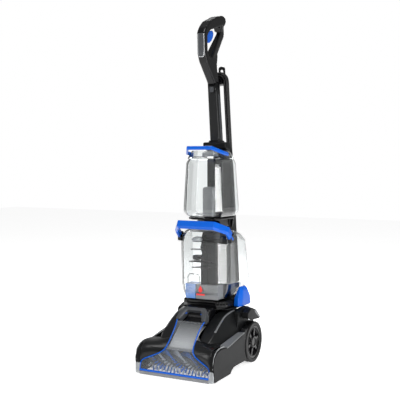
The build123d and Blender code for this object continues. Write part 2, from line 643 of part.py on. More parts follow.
stack = block(-12, 41, -92, -52, 250, 398) + block(-12, 20, -80, -52, lower_tank_z + tank_wall + 0.4, 252)
stack += block(-4, 34, -86, -56, 398, lid_z - 10)
stack -= block(-8, 12, -76, -56, 200, 392)
for z, x0, x1 in ((388, -40, 30), (364, -46, 6), (325, -51, 30), (305, -40, 20)):
    stack += block(x0, x1, -96, -60, z - 1.5, z + 1.5)
add_node("intake_stack", stack)
tank_float = fillet(block(-48, -18, -86, -56, 327, 345).edges(), 4)
add_node("tank_float", tank_float)

handle_pivot_y, handle_pivot_z = -84.0, 401.0
handle_plan = mirror_x([(93, -72), (93, -114), (63, -153)])
handle_plan_in = mirror_x([(85, -60), (85, -111), (57, -139)])
handle_side = [
    (-153, 431), (-153, 453), (-145, 460), (-124, 457), (-74, 412), (-72, 391), (-92, 391), (-126, 428),
]
handle_room = side_prism(handle_side, -120, 120, radius=[4, 4, 6, 6, 6, 6, 4, 4])
lower_handle = (plan_prism(handle_plan, 380, 470) - plan_prism(handle_plan_in, 370, 480)) & handle_room
handle_pin_r = 3.0
lower_handle -= rod_x(handle_pivot_y, handle_pivot_z, handle_pin_r + run_gap, -100, 100)
add_node("dirty_tank_handle", lower_handle)
handle_pins = rod_x(handle_pivot_y, handle_pivot_z, handle_pin_r, 74, 91)
tank_with_pins = nodes["dirty_tank"] + (handle_pins - lower_inner)
add_node("dirty_tank", tank_with_pins + mirrored(handle_pins - lower_inner))

upper_levels = [
    (upper_tank_z, [(44, -108), (60, -92), (68, 0), (56, 7)]),
    (480, [(50, -118), (70, -98), (78, 2), (60, 7)]),
    (500, [(50, -118), (70, -98), (79, 4), (60, 7)]),
    (upper_tank_top - 27, [(46, -112), (64, -91), (70, -2), (54, 7)]),
    (upper_tank_top - 13, [(40, -102), (56, -83), (63, -8), (48, 3)]),
    (upper_tank_top - 6, [(34, -90), (46, -74), (50, -14), (38, -6)]),
]
upper_outer = tank_body(upper_levels)
upper_inner = tank_body(upper_levels, tank_wall, floor=tank_wall, top=-tank_wall)
fill_y, fill_r = -50.0, 18.0
neck_top = upper_tank_top + 1
neck_wall = rod_z(0, fill_y, fill_r, neck_top - 16, neck_top) - upper_inner
clean_tank = upper_outer - upper_inner + neck_wall
add_node("clean_tank", clean_tank - rod_z(0, fill_y, fill_r - 3, neck_top - 26, neck_top + 1))
cap_r, cap_top = 23.0, neck_top + 11
cap = rod_z(0, fill_y, cap_r, neck_top - 6, cap_top)
cap -= rod_z(0, fill_y, fill_r + 0.3, neck_top - 7, neck_top + 0.3)
add_node("clean_tank_cap", cap)
well_z = upper_tank_z + tank_wall + 0.6
well = front_prism([(13, well_z), (13, 563), (44, 563), (44, well_z)], -98, -78, radius=[0, 7, 7, 0])
well -= front_prism([(15, well_z - 1), (15, 561), (42, 561), (42, well_z - 1)], -96, -80, radius=[0, 5, 5, 0])
add_node("valve_well", well)
# the carrying arch's side line, its heights counted from the tank's top
arch_side = [
    (-131, 11), (-131, 24), (-121, 27), (-84, 21), (-50, 3),
    (-50, -10), (-82, -13), (-100, 3), (-124, 7),
]
arch_side = [(y, upper_tank_top + rise) for y, rise in arch_side]
arch_low, arch_high = upper_tank_top - 25, upper_tank_top + 35
arch_plan = plan_prism(mirror_x([(68, -50), (68, -84), (44, -131)]), arch_low, arch_high)
arch_plan -= plan_prism(mirror_x([(61, -40), (61, -82), (39, -123)]), arch_low - 10, arch_high + 10)
arch = arch_plan & side_prism(arch_side, -80, 80, radius=[3, 3, 3, 8, 3, 3, 6, 6, 3])
add_node("clean_tank_handle", arch - upper_outer)

# ---- one frame: origin on the floor under the middle of the machine ---------------------------------
cord_nodes = ["power_cord", "cord_hank", "power_plug", "strain_relief"]
solid_boxes = [shape.bounding_box() for name, shape in nodes.items() if name not in cord_nodes]
front_y = min(box.min.Y for box in solid_boxes)
back_y = max(box.max.Y for box in solid_boxes)
centre_y = (front_y + back_y) / 2
for name, shape in nodes.items():
    export_step(Pos(0, -centre_y, 0) * shape, f"parts/{name}.step")
print("axle stands at Y", round(-centre_y, 3), "nodes", len(nodes))
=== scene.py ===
import math

import bmesh
import bpy
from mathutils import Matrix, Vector


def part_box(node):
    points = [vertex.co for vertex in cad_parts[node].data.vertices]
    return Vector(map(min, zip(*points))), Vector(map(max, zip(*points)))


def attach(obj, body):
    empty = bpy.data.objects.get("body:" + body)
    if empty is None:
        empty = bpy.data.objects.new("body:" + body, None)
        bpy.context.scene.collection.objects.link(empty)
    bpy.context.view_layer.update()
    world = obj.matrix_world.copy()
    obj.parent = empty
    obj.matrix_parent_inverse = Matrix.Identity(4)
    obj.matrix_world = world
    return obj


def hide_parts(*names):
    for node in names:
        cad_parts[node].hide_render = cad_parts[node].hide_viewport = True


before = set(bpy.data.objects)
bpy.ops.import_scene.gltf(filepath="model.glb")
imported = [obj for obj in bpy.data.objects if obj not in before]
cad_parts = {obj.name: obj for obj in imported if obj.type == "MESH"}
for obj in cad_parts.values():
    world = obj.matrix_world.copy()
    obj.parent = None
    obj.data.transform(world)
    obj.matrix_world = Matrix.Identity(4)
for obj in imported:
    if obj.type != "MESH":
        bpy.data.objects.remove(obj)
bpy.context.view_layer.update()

# Sizes are in millimetres about the wheel axle: X to the user's right, -Y the way the nozzle faces,
# Z up from the floor. at() turns them into metres in the machine's frame.
MM = 0.001
tyre_low, tyre_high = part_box("wheel_tyre_right")
AXLE_Y = (tyre_low[1] + tyre_high[1]) / 2
WHEEL_R = 65.0
SIDES = (("right", 1), ("left", -1))


def at(x, y, z):
    return Vector((x * MM, y * MM + AXLE_Y, z * MM))


# ---- camera ----------------------------------------------------------------------------------------
def make_camera():
    camera = bpy.data.objects.new("camera", bpy.data.cameras.new("camera"))
    camera.data.sensor_width = 36
    camera.data.lens = 68.06
    camera.location = at(1083.2, -2207.0, 646.7)
    camera.rotation_euler = (math.radians(90 - 3.03), 0, math.radians(27.42))
    bpy.context.scene.collection.objects.link(camera)
    bpy.context.scene.camera = camera


make_camera()


# ---- outlines --------------------------------------------------------------------------------------
def rounded(corners, default=0.0, step=10):
    """A closed outline from (a, b) or (a, b, radius) corners, each turned into an arc of points."""
    points = []
    count = len(corners)
    for i, corner in enumerate(corners):
        here = Vector(corner[:2])
        before = Vector(corners[i - 1][:2])
        after = Vector(corners[(i + 1) % count][:2])
        radius = corner[2] if len(corner) > 2 else default
        back, ahead = (before - here), (after - here)
        turn = math.pi - back.angle(ahead) if back.length and ahead.length else 0
        room = 0.49 * min(back.length, ahead.length)
        reach = min(radius * math.tan(turn / 2), room) if turn > 0.01 else 0
        if reach < 0.05:
            points.append(here)
            continue
        radius = reach / math.tan(turn / 2)
        start, end = here + back.normalized() * reach, here + ahead.normalized() * reach
        centre = here + (back.normalized() + ahead.normalized()).normalized() * math.hypot(radius, reach)
        steps = max(2, int(math.degrees(turn) / step))
        first = math.atan2(start.y - centre.y, start.x - centre.x)
        sweep = math.atan2(end.y - centre.y, end.x - centre.x) - first
        sweep = (sweep + math.pi) % (2 * math.pi) - math.pi
        for k in range(steps + 1):
            angle = first + sweep * k / steps
            points.append(centre + radius * Vector((math.cos(angle), math.sin(angle))))
    return points


def eased(points, reach, steps=6):
    """An open path of any number of coordinates, its corners eased over reach on each side."""
    out = [list(points[0])]
    for before, here, after in zip(points, points[1:], points[2:]):
        a, b, c = Vector(before), Vector(here), Vector(after)
        ra = min(reach, 0.49 * (b - a).length)
        rc = min(reach, 0.49 * (c - b).length)
        start, end = b + (a - b).normalized() * ra, b + (c - b).normalized() * rc
        for k in range(steps + 1):
            t = k / steps
            out.append(list(start * (1 - t) ** 2 + b * 2 * t * (1 - t) + end * t * t))
    out.append(list(points[-1]))
    return out


def along(table, value):
    """A smooth curve through (value, result) rows, read at a value."""
    if value <= table[0][0]:
        return table[0][1]
    if value >= table[-1][0]:
        return table[-1][1]
    i = max(k for k in range(len(table) - 1) if table[k][0] <= value)
    (x0, y0), (x1, y1) = table[i], table[i + 1]
    before = table[max(i - 1, 0)]
    after = table[min(i + 2, len(table) - 1)]
    m0 = (y1 - before[1]) / (x1 - before[0]) * (x1 - x0)
    m1 = (after[1] - y0) / (after[0] - x0) * (x1 - x0)
    t = (value - x0) / (x1 - x0)
    return (
        (2 * t ** 3 - 3 * t ** 2 + 1) * y0 + (t ** 3 - 2 * t ** 2 + t) * m0
        + (3 * t ** 2 - 2 * t ** 3) * y1 + (t ** 3 - t ** 2) * m1
    )


def fixed_rounded(corners, steps):
    """A closed outline whose every corner has the same number of points, so that rings can be joined."""
    points = []
    count = len(corners)
    for i, (a, b, radius) in enumerate(corners):
        here, before, after = Vector((a, b)), Vector(corners[i - 1][:2]), Vector(corners[(i + 1) % count][:2])
        back, ahead = before - here, after - here
        reach = min(radius, 0.45 * back.length, 0.45 * ahead.length)
        start = here + back.normalized() * reach if back.length > 1e-6 else here
        end = here + ahead.normalized() * reach if ahead.length > 1e-6 else here
        for k in range(steps + 1):
            t = k / steps
            points.append(start * (1 - t) ** 2 + here * 2 * t * (1 - t) + end * t * t)
    return points


def circle(radius, count=12):
    return [
        (radius * math.cos(2 * math.pi * k / count), radius * math.sin(2 * math.pi * k / count))
        for k in range(count)
    ]


def box_outline(x0, x1, y0, y1, radius):
    return rounded([(x0, y0), (x1, y0), (x1, y1), (x0, y1)], radius)


def mirror_line(points):
    """The right half of an outline, closed by its mirror image across X = 0."""
    return list(points) + [(-p[0], *p[1:]) for p in reversed(points)]


# ---- meshes ----------------------------------------------------------------------------------------
WELD = 0.00001            # metres


def as_piece(name, mesh, body, stuff):
    """A finished mesh becomes a piece: welded, smooth-shaded, with its finish, on its body."""
    bm = bmesh.new()
    bm.from_mesh(mesh)
    bmesh.ops.remove_doubles(bm, verts=bm.verts, dist=WELD)
    bmesh.ops.recalc_face_normals(bm, faces=bm.faces)
    for face in bm.faces:
        face.smooth = True
    bm.to_mesh(mesh)
    bm.free()
    obj = bpy.data.objects.new(name, mesh)
    bpy.context.scene.collection.objects.link(obj)
    mesh.materials.append(stuff)
    even = obj.modifiers.new("even shading", "WEIGHTED_NORMAL")
    even.keep_sharp = True
    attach(obj, body)
    return obj


def from_faces(name, points, faces, body, stuff, slot):
    """A piece from millimetre points and faces."""
    mesh = bpy.data.meshes.new(name)
    mesh.from_pydata([at(*p) for p in points], [], faces)
    return as_piece(name, mesh, body, stuff)


def skinned(name, rings, body, stuff, slot, caps=True, around=True):
    """A skin over rings of equally many points."""
    count = len(rings[0])
    points = [p for ring in rings for p in ring]
    faces = []
    for i in range(len(rings) - 1):
        for j in range(count if around else count - 1):
            k = (j + 1) % count
            faces.append((i * count + j, i * count + k, (i + 1) * count + k, (i + 1) * count + j))
    if caps:
        faces.append(tuple(range(count))[::-1])
        faces.append(tuple((len(rings) - 1) * count + j for j in range(count)))
    return from_faces(name, points, faces, body, stuff, slot)


PLACES = {
    "X": lambda a, b, c: (c, a, b),
    "Y": lambda a, b, c: (a, c, b),
    "Z": lambda a, b, c: (a, b, c),
}


def slab(name, outlines, low, high, place, edge, body, stuff, slot, resolution=2):
    """A plate between low and high with rounded rims. Its first outline is its rim, the others are holes."""
    curve = bpy.data.curves.new(name, "CURVE")
    curve.dimensions = "2D"
    curve.fill_mode = "BOTH"
    curve.extrude = (high - low) / 2 - edge
    curve.bevel_depth = edge
    curve.bevel_resolution = resolution
    curve.offset = -edge
    for outline in outlines:
        spline = curve.splines.new("POLY")
        spline.points.add(len(outline) - 1)
        for point, (a, b) in zip(spline.points, outline):
            point.co = (a, b, 0, 1)
        spline.use_cyclic_u = True
    shape = bpy.data.objects.new(name, curve)
    bpy.context.scene.collection.objects.link(shape)
    graph = bpy.context.evaluated_depsgraph_get()
    mesh = bpy.data.meshes.new_from_object(shape.evaluated_get(graph))
    bpy.data.objects.remove(shape)
    bpy.data.curves.remove(curve)
    move = PLACES.get(place, place)
    middle = (low + high) / 2
    for vertex in mesh.vertices:
        vertex.co = at(*move(vertex.co.x, vertex.co.y, vertex.co.z + middle))
    mesh.materials.clear()
    return as_piece(name, mesh, body, stuff)


def lathe(name, profile, centre, body, stuff, slot, segments=72, axis="X"):
    """A profile of (distance along, radius) points turned about an axis through centre."""
    rings = []
    for k in range(segments):
        angle = 2 * math.pi * k / segments
        u, v = math.cos(angle), math.sin(angle)
        spokes = [PLACES[axis](r * u, r * v, d) for d, r in profile]
        rings.append([tuple(c + p for c, p in zip(centre, spoke)) for spoke in spokes])
    rings.append(rings[0])
    return skinned(name, rings, body, stuff, slot, caps=False, around=False)


SHARPEST_MITRE = 0.35     # cosine that a mitre's widening stops at


def swept(name, path, section, body, stuff, slot, up=(0, 0, 1)):
    """A section of (across, up) points carried along a path and mitred at its corners."""
    path = [Vector(p) for p in path]
    lift = Vector(up)
    rings = []
    for i, here in enumerate(path):
        arrive = (here - path[i - 1] if i else path[1] - here).normalized()
        leave = (path[i + 1] - here).normalized() if i < len(path) - 1 else arrive
        forward = (arrive + leave).normalized()
        side = forward.cross(lift).normalized()
        rise = side.cross(forward).normalized()
        widen = 1 / max(SHARPEST_MITRE, forward.dot(arrive))
        bend = leave - arrive
        sideways = abs(bend.normalized().dot(side)) if bend.length > 0.01 else 0
        wide = 1 + (widen - 1) * sideways
        tall = 1 + (widen - 1) * (1 - sideways)
        rings.append([tuple(here + side * a * wide + rise * b * tall) for a, b in section])
    return skinned(name, rings, body, stuff, slot)


def shell_sheet(name, outer, inner, body, stuff, slot):
    """A thin sheet closed between its outer and inner rows."""
    count, wide = len(outer), len(outer[0])
    points = [p for row in outer for p in row] + [p for row in inner for p in row]
    lift = count * wide
    faces = []
    for i in range(count - 1):
        for j in range(wide - 1):
            a = i * wide + j
            faces.append((a, a + 1, a + wide + 1, a + wide))
            faces.append((lift + a + wide, lift + a + wide + 1, lift + a + 1, lift + a))
    rim = [j for j in range(wide)] + [i * wide + wide - 1 for i in range(1, count)]
    rim += [(count - 1) * wide + j for j in range(wide - 2, -1, -1)]
    rim += [i * wide for i in range(count - 2, 0, -1)]
    for a, b in zip(rim, rim[1:] + rim[:1]):
        faces.append((b, a, lift + a, lift + b))
    return from_faces(name, points, faces, body, stuff, slot)


def soften(obj, width, segments=3, angle=25):
    """Rounds a hard-edged piece's edges, ahead of its shading step."""
    bevel = obj.modifiers.new("rounded edges", "BEVEL")
    bevel.width = width * MM
    bevel.segments = segments
    bevel.limit_method = "ANGLE"
    bevel.angle_limit = math.radians(angle)
    obj.modifiers.move(len(obj.modifiers) - 1, 0)
    return obj


def clear_wall(obj, thickness=2.8):
    """Gives a tank's skin its real wall."""
    wall = obj.modifiers.new("wall", "SOLIDIFY")
    wall.thickness = thickness * MM
    wall.offset = -1
    obj.modifiers.move(len(obj.modifiers) - 1, 0)
    return obj


# ---- finishes --------------------------------------------------------------------------------------
def linear(colour):
    """An sRGB hex colour as linear red, green, blue and alpha."""
    channels = [int(colour[i:i + 2], 16) / 255 for i in (1, 3, 5)]
    return [c / 12.92 if c <= 0.04045 else ((c + 0.055) / 1.055) ** 2.4 for c in channels] + [1.0]


def add(tree, kind, values=None, links=None, **settings):
    """One node with its settings, its sockets' values and its links."""
    node = tree.nodes.new(kind)
    for key, value in settings.items():
        setattr(node, key, value)
    for socket, value in (values or {}).items():
        node.inputs[socket].default_value = value
    for socket, source in (links or {}).items():
        tree.links.new(source, node.inputs[socket])
    return node


def new_finish(name):
    stuff = bpy.data.materials.new(name)
    stuff.use_nodes = True
    tree = stuff.node_tree
    tree.nodes.clear()
    place = add(tree, "ShaderNodeTexCoord").outputs["Object"]
    return stuff, tree, place


def close_finish(tree, shader):
    add(tree, "ShaderNodeOutputMaterial", links={"Surface": shader.outputs[0]})


def moulded(name, colour, roughness, grain=0.9, depth=0.05, drift=0.06, values=None):
    """Injection-moulded plastic: a fine eroded grain in mm, and a slow drift in shade and gloss."""
    stuff, tree, place = new_finish(name)
    slow = add(tree, "ShaderNodeTexNoise", {"Scale": 1 / (60 * MM), "Detail": 3.0}, {"Vector": place})
    fine = add(tree, "ShaderNodeTexNoise", {"Scale": 1 / (grain * MM), "Detail": 2.0}, {"Vector": place})
    base = linear(colour)
    shade = add(tree, "ShaderNodeMix", data_type="RGBA", links={"Factor": slow.outputs["Fac"]})
    shade.inputs["A"].default_value = [c * (1 - drift) for c in base[:3]] + [1]
    shade.inputs["B"].default_value = [min(1, c * (1 + drift)) for c in base[:3]] + [1]
    gloss = add(tree, "ShaderNodeMapRange", {"To Min": roughness * 0.86, "To Max": roughness * 1.16},
        {"Value": slow.outputs["Fac"]})
    bump = add(tree, "ShaderNodeBump", {"Strength": depth, "Distance": 0.1 * MM},
        {"Height": fine.outputs["Fac"]})
    shader = add(tree, "ShaderNodeBsdfPrincipled", {"IOR": 1.53, **(values or {})}, {
        "Base Color": shade.outputs["Result"], "Roughness": gloss.outputs["Result"],
        "Normal": bump.outputs["Normal"]})
    close_finish(tree, shader)
    return stuff


def graded(name, low_colour, high_colour, roughness, low, high):
    """A moulding whose colour runs from one shade to another between two heights: a painted shade."""
    stuff, tree, place = new_finish(name)
    height = add(tree, "ShaderNodeSeparateXYZ", {}, {"Vector": place})
    share = add(tree, "ShaderNodeMapRange", {"From Min": low, "From Max": high},
        {"Value": height.outputs["Z"]})
    shade = add(tree, "ShaderNodeMix", {"A": linear(low_colour), "B": linear(high_colour)},
        {"Factor": share.outputs["Result"]}, data_type="RGBA")
    grain = add(tree, "ShaderNodeTexNoise", {"Scale": 1 / (1.1 * MM), "Detail": 2.0}, {"Vector": place})
    bump = add(tree, "ShaderNodeBump", {"Strength": 0.08, "Distance": 0.1 * MM},
        {"Height": grain.outputs["Fac"]})
    shader = add(tree, "ShaderNodeBsdfPrincipled", {"Roughness": roughness, "Specular IOR Level": 0.3},
        {"Base Color": shade.outputs["Result"], "Normal": bump.outputs["Normal"]})
    close_finish(tree, shader)
    return stuff


def see_through(name, colour, clear, edge, roughness, blend=0.35):
    """A thin clear moulding: it lets light straight through head on, and turns denser and shinier edge on."""
    stuff, tree, place = new_finish(name)
    flow = add(tree, "ShaderNodeTexNoise", {"Scale": 1 / (45 * MM), "Detail": 1.0}, {"Vector": place})
    bump = add(tree, "ShaderNodeBump", {"Strength": 0.08, "Distance": 0.4 * MM},
        {"Height": flow.outputs["Fac"]})
    facing = add(tree, "ShaderNodeLayerWeight", {"Blend": blend}, {"Normal": bump.outputs["Normal"]})
    dense = add(tree, "ShaderNodeMapRange", {"To Min": clear, "To Max": edge},
        {"Value": facing.outputs["Facing"]})
    shader = add(tree, "ShaderNodeBsdfPrincipled", {
        "Base Color": linear(colour), "Roughness": roughness, "IOR": 1.57, "Specular IOR Level": 0.9,
    }, {"Alpha": dense.outputs["Result"], "Normal": bump.outputs["Normal"]})
    close_finish(tree, shader)
    return stuff


def glassy(name, colour, edge, roughness):
    """A clear rigid moulding with real walls: refracts at its edges and mirrors the lamps in its facets."""
    stuff, tree, place = new_finish(name)
    flow = add(tree, "ShaderNodeTexNoise", {"Scale": 1 / (45 * MM), "Detail": 1.0}, {"Vector": place})
    bump = add(tree, "ShaderNodeBump", {"Strength": 0.06, "Distance": 0.3 * MM},
        {"Height": flow.outputs["Fac"]})
    # Painted shade: the tint turns near black where the wall is seen edge on, drawing the dark edge lines.
    facing = add(tree, "ShaderNodeLayerWeight", {"Blend": 0.5})
    turn = add(tree, "ShaderNodeMapRange", {"From Min": 0.45, "From Max": 0.85},
        {"Value": facing.outputs["Facing"]})
    tone = add(tree, "ShaderNodeMix", {"A": linear(colour), "B": linear(edge)},
        {"Factor": turn.outputs["Result"]}, data_type="RGBA")
    shader = add(tree, "ShaderNodeBsdfPrincipled", {
        "Roughness": roughness, "IOR": 1.36, "Transmission Weight": 1.0,
    }, {"Base Color": tone.outputs["Result"], "Normal": bump.outputs["Normal"]})
    close_finish(tree, shader)
    return stuff


def metal(name, colour, roughness, scratch):
    """Plain machined metal: streaks a fraction of a millimetre apart, shown coarser than they are."""
    stuff, tree, place = new_finish(name)
    stretch = add(tree, "ShaderNodeMapping", {"Scale": (1, 12, 12)}, {"Vector": place})
    streak = add(tree, "ShaderNodeTexNoise", {"Scale": 1 / (scratch * MM), "Detail": 4.0},
        {"Vector": stretch.outputs["Vector"]})
    gloss = add(tree, "ShaderNodeMapRange", {"To Min": roughness * 0.7, "To Max": roughness * 1.3},
        {"Value": streak.outputs["Fac"]})
    shader = add(tree, "ShaderNodeBsdfPrincipled", {"Base Color": linear(colour), "Metallic": 1.0},
        {"Roughness": gloss.outputs["Result"]})
    close_finish(tree, shader)
    return stuff


# Charcoal ABS off a spark-eroded tool: a soft satin that shows broad, blurred highlights.
charcoal = moulded("charcoal satin ABS", "#111213", 0.3, grain=1.1, depth=0.08,
    values={"Specular IOR Level": 0.24})
# The housing's ABS is a shade lighter and flatter, so that it reads behind the clear tanks.
slate = moulded("slate matt ABS", "#101112", 0.42, grain=1.2, depth=0.1, values={"Specular IOR Level": 0.1})
# Black ABS off a polished tool: deep, with sharp highlights.
black = moulded("black gloss ABS", "#08080a", 0.16, grain=2.0, depth=0.02,
    values={"Specular IOR Level": 0.25})
# Mid grey ABS for the collar, the pedal and small controls, and for the painted highlight strips on the
# cheeks' tips and the handle tube's sides.
grey = moulded("grey satin ABS", "#3b3d40", 0.34, grain=1.1, depth=0.08, values={"Specular IOR Level": 0.35})
# Pale grey ABS on the skirts' front edges, where it is a painted highlight strip, and the badge.
pale = moulded("pale grey satin ABS", "#8c8e90", 0.34, grain=1.1, depth=0.06)
# Silver paint on ABS: fine flake under a clear coat, brighter where it faces the light.
silver = moulded("silver painted ABS", "#b9bbbd", 0.3, grain=0.6, depth=0.06,
    values={"Metallic": 0.55, "Coat Weight": 0.5, "Coat Roughness": 0.12})
# Bright blue ABS with a polished face: strong colour under a thin hard reflection.
blue = moulded("bright blue gloss ABS", "#0453b8", 0.24, grain=2.0, depth=0.02, drift=0.04,
    values={"Specular IOR Level": 0.2, "Coat Weight": 0.06, "Coat Roughness": 0.08})
# Clear copolyester: nearly invisible head on, its tint painted near black wherever the wall turns away, a
# painted dark edge line.
clear = glassy("clear copolyester", "#f8fafa", "#14171a", 0.02)
# Smoke-tinted copolyester over the nozzle: the brush shows through it, dulled.
smoke = see_through("smoke copolyester", "#84888b", 0.13, 0.6, 0.05)
# Grey tint of the dirty tank's foot insert, and the blue one beside it.
tint_grey = see_through("grey tinted insert", "#77797c", 0.72, 0.95, 0.2)
tint_blue = see_through("blue tinted insert", "#4c8fe6", 0.55, 0.9, 0.15)
# Soft tread rubber: dull black with no clear reflection.
rubber = moulded("tread rubber", "#0c0c0d", 0.5, grain=1.6, depth=0.2, values={"Specular IOR Level": 0.25})
# Cord jacket in flexible vinyl: black with a soft sheen along its length.
vinyl = moulded("flexible vinyl", "#101011", 0.38, grain=1.5, depth=0.05, values={"Specular IOR Level": 0.3})
# Nylon filament, white and blue: translucent threads that catch the light at their ends.
nylon_white = moulded("white nylon filament", "#eef1f4", 0.35, values={"Subsurface Weight": 0.15})
nylon_blue = moulded("blue nylon filament", "#2f86ee", 0.35, values={"Subsurface Weight": 0.15})
# Turned steel pins and screws.
steel = metal("turned steel", "#a8aaad", 0.28, 0.5)
# Cast aluminium motor bodies: a pale, rough metal.
cast = metal("cast aluminium", "#8f9194", 0.5, 2.0)
# Grey ABS of the suction duct's floor, with painted shade: its colour is painted darker toward the throat,
# where the walls close in.
duct_painted_shade = graded("light grey satin ABS with painted shade", "#d4d7da", "#050506", 0.36, 96 * MM, 142 * MM)
# Mid grey ABS of the ledges on the skirts, and of the painted highlight strips along the cheeks' outer edges.
mid_grey_and_painted_highlight = moulded("mid grey ABS and painted highlight", "#5b5d5f", 0.32, grain=1.1, depth=0.08)
# Mid grey ABS of the brush's sleeve, seen between the tufts.
sleeve = moulded("mid grey satin ABS", "#6d6f72", 0.4, grain=1.1, depth=0.08)
# Frosted copolyester of the nozzle's end caps, the lids and the filler cap.
clear_end = see_through("clear end cap", "#9da1a4", 0.6, 0.95, 0.12)
# Printed red enamel of the tank's mark.
enamel = moulded("red enamel print", "#d8231f", 0.3, depth=0.01)

# Finishes with the export slot each nearly always goes with.
BLACK = black, "black_plastic"
CHARCOAL = charcoal, "charcoal_plastic"
BLUE = blue, "blue_plastic"
GREY = grey, "grey_plastic"


# ---- foot ------------------------------------------------------------------------------------------
WINDOW_LINE = eased([(-290, 13), (-281, 46), (-252, 84), (-205, 132), (-165, 168), (-150, 177)], 9)
WINDOW_WIDTH = [
    (10, 117), (38, 117), (46, 110), (52, 97), (60, 78), (68, 61), (78, 50), (90, 46), (115, 44), (140, 45),
    (160, 51),
]


WINDOW_TOP, DUCT_LOW = 152.0, 86.0


def window_y(z):
    """The window's front at a height."""
    for (y0, z0), (y1, z1) in zip(WINDOW_LINE, WINDOW_LINE[1:]):
        if z0 <= z <= z1:
            return y0 + (y1 - y0) * (z - z0) / max(z1 - z0, 0.001)
    return WINDOW_LINE[-1][0] if z > WINDOW_LINE[-1][1] else WINDOW_LINE[0][0]


def window_half(z):
    return along(WINDOW_WIDTH, z)


def window_rows(z0, z1, count, drop, half):
    """Rows across the window's surface, dropped behind it by a distance."""
    rows = []
    for i in range(count + 1):
        z = z0 + (z1 - z0) * i / count
        slope = Vector((window_y(z + 2) - window_y(z - 2), 4)).normalized()
        y, z_in = window_y(z) + drop * slope.y, z - drop * slope.x
        wide = half(z)
        rows.append([(wide * (2 * j / 24 - 1), y, z_in) for j in range(25)])
    return rows


def make_window():
    outer = window_rows(13, WINDOW_TOP, 64, 0, window_half)
    inner = window_rows(13, WINDOW_TOP, 64, 2.6, window_half)
    piece = shell_sheet("nozzle_window_shell", outer, inner, "foot", smoke, "smoke_plastic")
    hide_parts("nozzle_window")
    heights = [14 + (WINDOW_TOP - 14) * i / 60 for i in range(61)]
    corner = [(46, -174, 159), (42, -167, 165.5), (34, -162, 170), (24, -160, 172.5)]
    for side, s in SIDES:
        path = [(s * (window_half(z) - 1.6), window_y(z) - 1.0, z + 0.5) for z in heights]
        path += [(s * x, y, z) for x, y, z in corner]
        section = [(a, b * 0.7) for a, b in circle(1.9, 10)]
        line = swept(f"window_edge_{side}", path, section, "foot", *BLUE, up=(0, -0.75, 0.66))
        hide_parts("window_trim")
    slab("window_edge_bottom", [box_outline(-117, 117, 13, 18.5, 1.5)], -292.2, -286.5, "Y", 1.2, "foot",
        *BLUE)
    duct = shell_sheet("duct_floor", duct_rows(0), duct_rows(3), "foot", duct_painted_shade, "grey_plastic")
    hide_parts("suction_channel")
    # Partly real, partly painted highlight: a thin lip across the duct's mouth, in pale silver so that it
    # paints the bright line along the mouth's top.
    bead = [(x, window_y(84) + 5.5, 82.5) for x in (-46, 46)]
    swept("duct_lip_highlight", bead, circle(2.2, 12), "foot", silver, "silver_plastic")
    hood = rounded([(-249, 76, 1), (-240, 77.4, 3), (-200, 84, 1), (-200, 88, 1), (-242, 81, 3),
        (-250, 79, 1)])
    slab("brush_hood", [hood], -52, 52, "X", 0.6, "foot", silver, "grey_plastic")
    slab("nozzle_back", [rounded([(-108, 20), (108, 20), (108, 78), (-108, 78)], 6)], -197, -194, "Y", 1,
        "foot", pale, "grey_plastic")


def duct_rows(drop):
    """Rows of the duct's floor, which sinks deeper behind the window as it climbs."""
    rows = []
    for i in range(31):
        t = i / 30
        z = DUCT_LOW + (WINDOW_TOP + 3 - DUCT_LOW) * t
        slope = Vector((window_y(z + 2) - window_y(z - 2), 4)).normalized()
        deep = 6 + 14 * t * t + drop
        wide = window_half(z) - 4
        rows.append([(wide * (2 * j / 24 - 1), window_y(z) + deep * slope.y, z - deep * slope.x)
            for j in range(25)])
    return rows


def make_lip():
    lip = slab("nozzle_lip_bar", [box_outline(-118, 118, 2.5, 12.8, 2)], -291.5, -279, "Y", 1.5, "foot",
        tint_grey, "smoke_plastic")
    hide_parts("nozzle_lip")
    slab("nozzle_sole_pad", [box_outline(-112, 112, -284, -271, 3)], 0, 5.5, "Z", 1, "foot", *BLACK)
    for side, s in SIDES:
        x0, x1 = sorted((s * 116.5, s * 131.5))
        slab(f"nozzle_end_{side}", [box_outline(x0, x1, 4, 37, 4)], -292.5, -284, "Y", 2, "foot", clear_end,
            "clear_plastic")


BARREL = eased([(-286, 14), (-288, 56), (-280, 80), (-262, 94), (-238, 99), (-204, 98)], 14)


def make_brush_cover():
    """The smooth cover each side of the window, from the skirt's edge down to the window's edge."""
    count = 40
    for side, s in SIDES:
        outer_rows, inner_rows = [], []
        for i in range(count + 1):
            t = i / count
            z_edge = 42 + (108 - 42) * t
            edge = Vector((window_half(z_edge) - 1, window_y(z_edge) + 0.6, z_edge))
            first = next(k for k, p in enumerate(BARREL) if p[1] > 42)
            spot = first + t * (len(BARREL) - 1 - first)
            k = min(int(spot), len(BARREL) - 2)
            on_barrel = Vector(BARREL[k]).lerp(Vector(BARREL[k + 1]), spot - k)
            rim = Vector((118, on_barrel.x, on_barrel.y))
            row = []
            for j in range(25):
                u = j / 24
                rise = math.sin(u * math.pi / 2)
                level = edge.lerp(rim, rise)
                row.append((edge.x + (rim.x - edge.x) * u, level.y, level.z))
            outer_rows.append([(s * x, y, z) for x, y, z in row])
            inner_rows.append([(s * x, y + 1.6, z - 2.2) for x, y, z in row])
        piece = shell_sheet(f"brush_cover_{side}", outer_rows, inner_rows, "foot", *CHARCOAL)
        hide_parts("foot_cover")


CHEEK_STATIONS = [
    # Y, top, inner X, outer X at the top, outer X at the foot, foot
    (-226, 92, 56, 74, 80, 86), (-222, 99, 50, 81, 90, 86), (-207, 112, 47, 85, 101, 88),
    (-185, 128, 46, 87, 107, 90), (-150, 148, 46, 86, 111, 94), (-119, 163, 47, 85, 114, 98),
    (-85, 170.5, 49, 86, 115, 102), (-45, 174, 51, 89, 115, 106), (-10, 171, 52, 93, 114, 104),
    (12, 157, 52, 95, 113, 96), (22, 132, 53, 95, 110, 90),
]


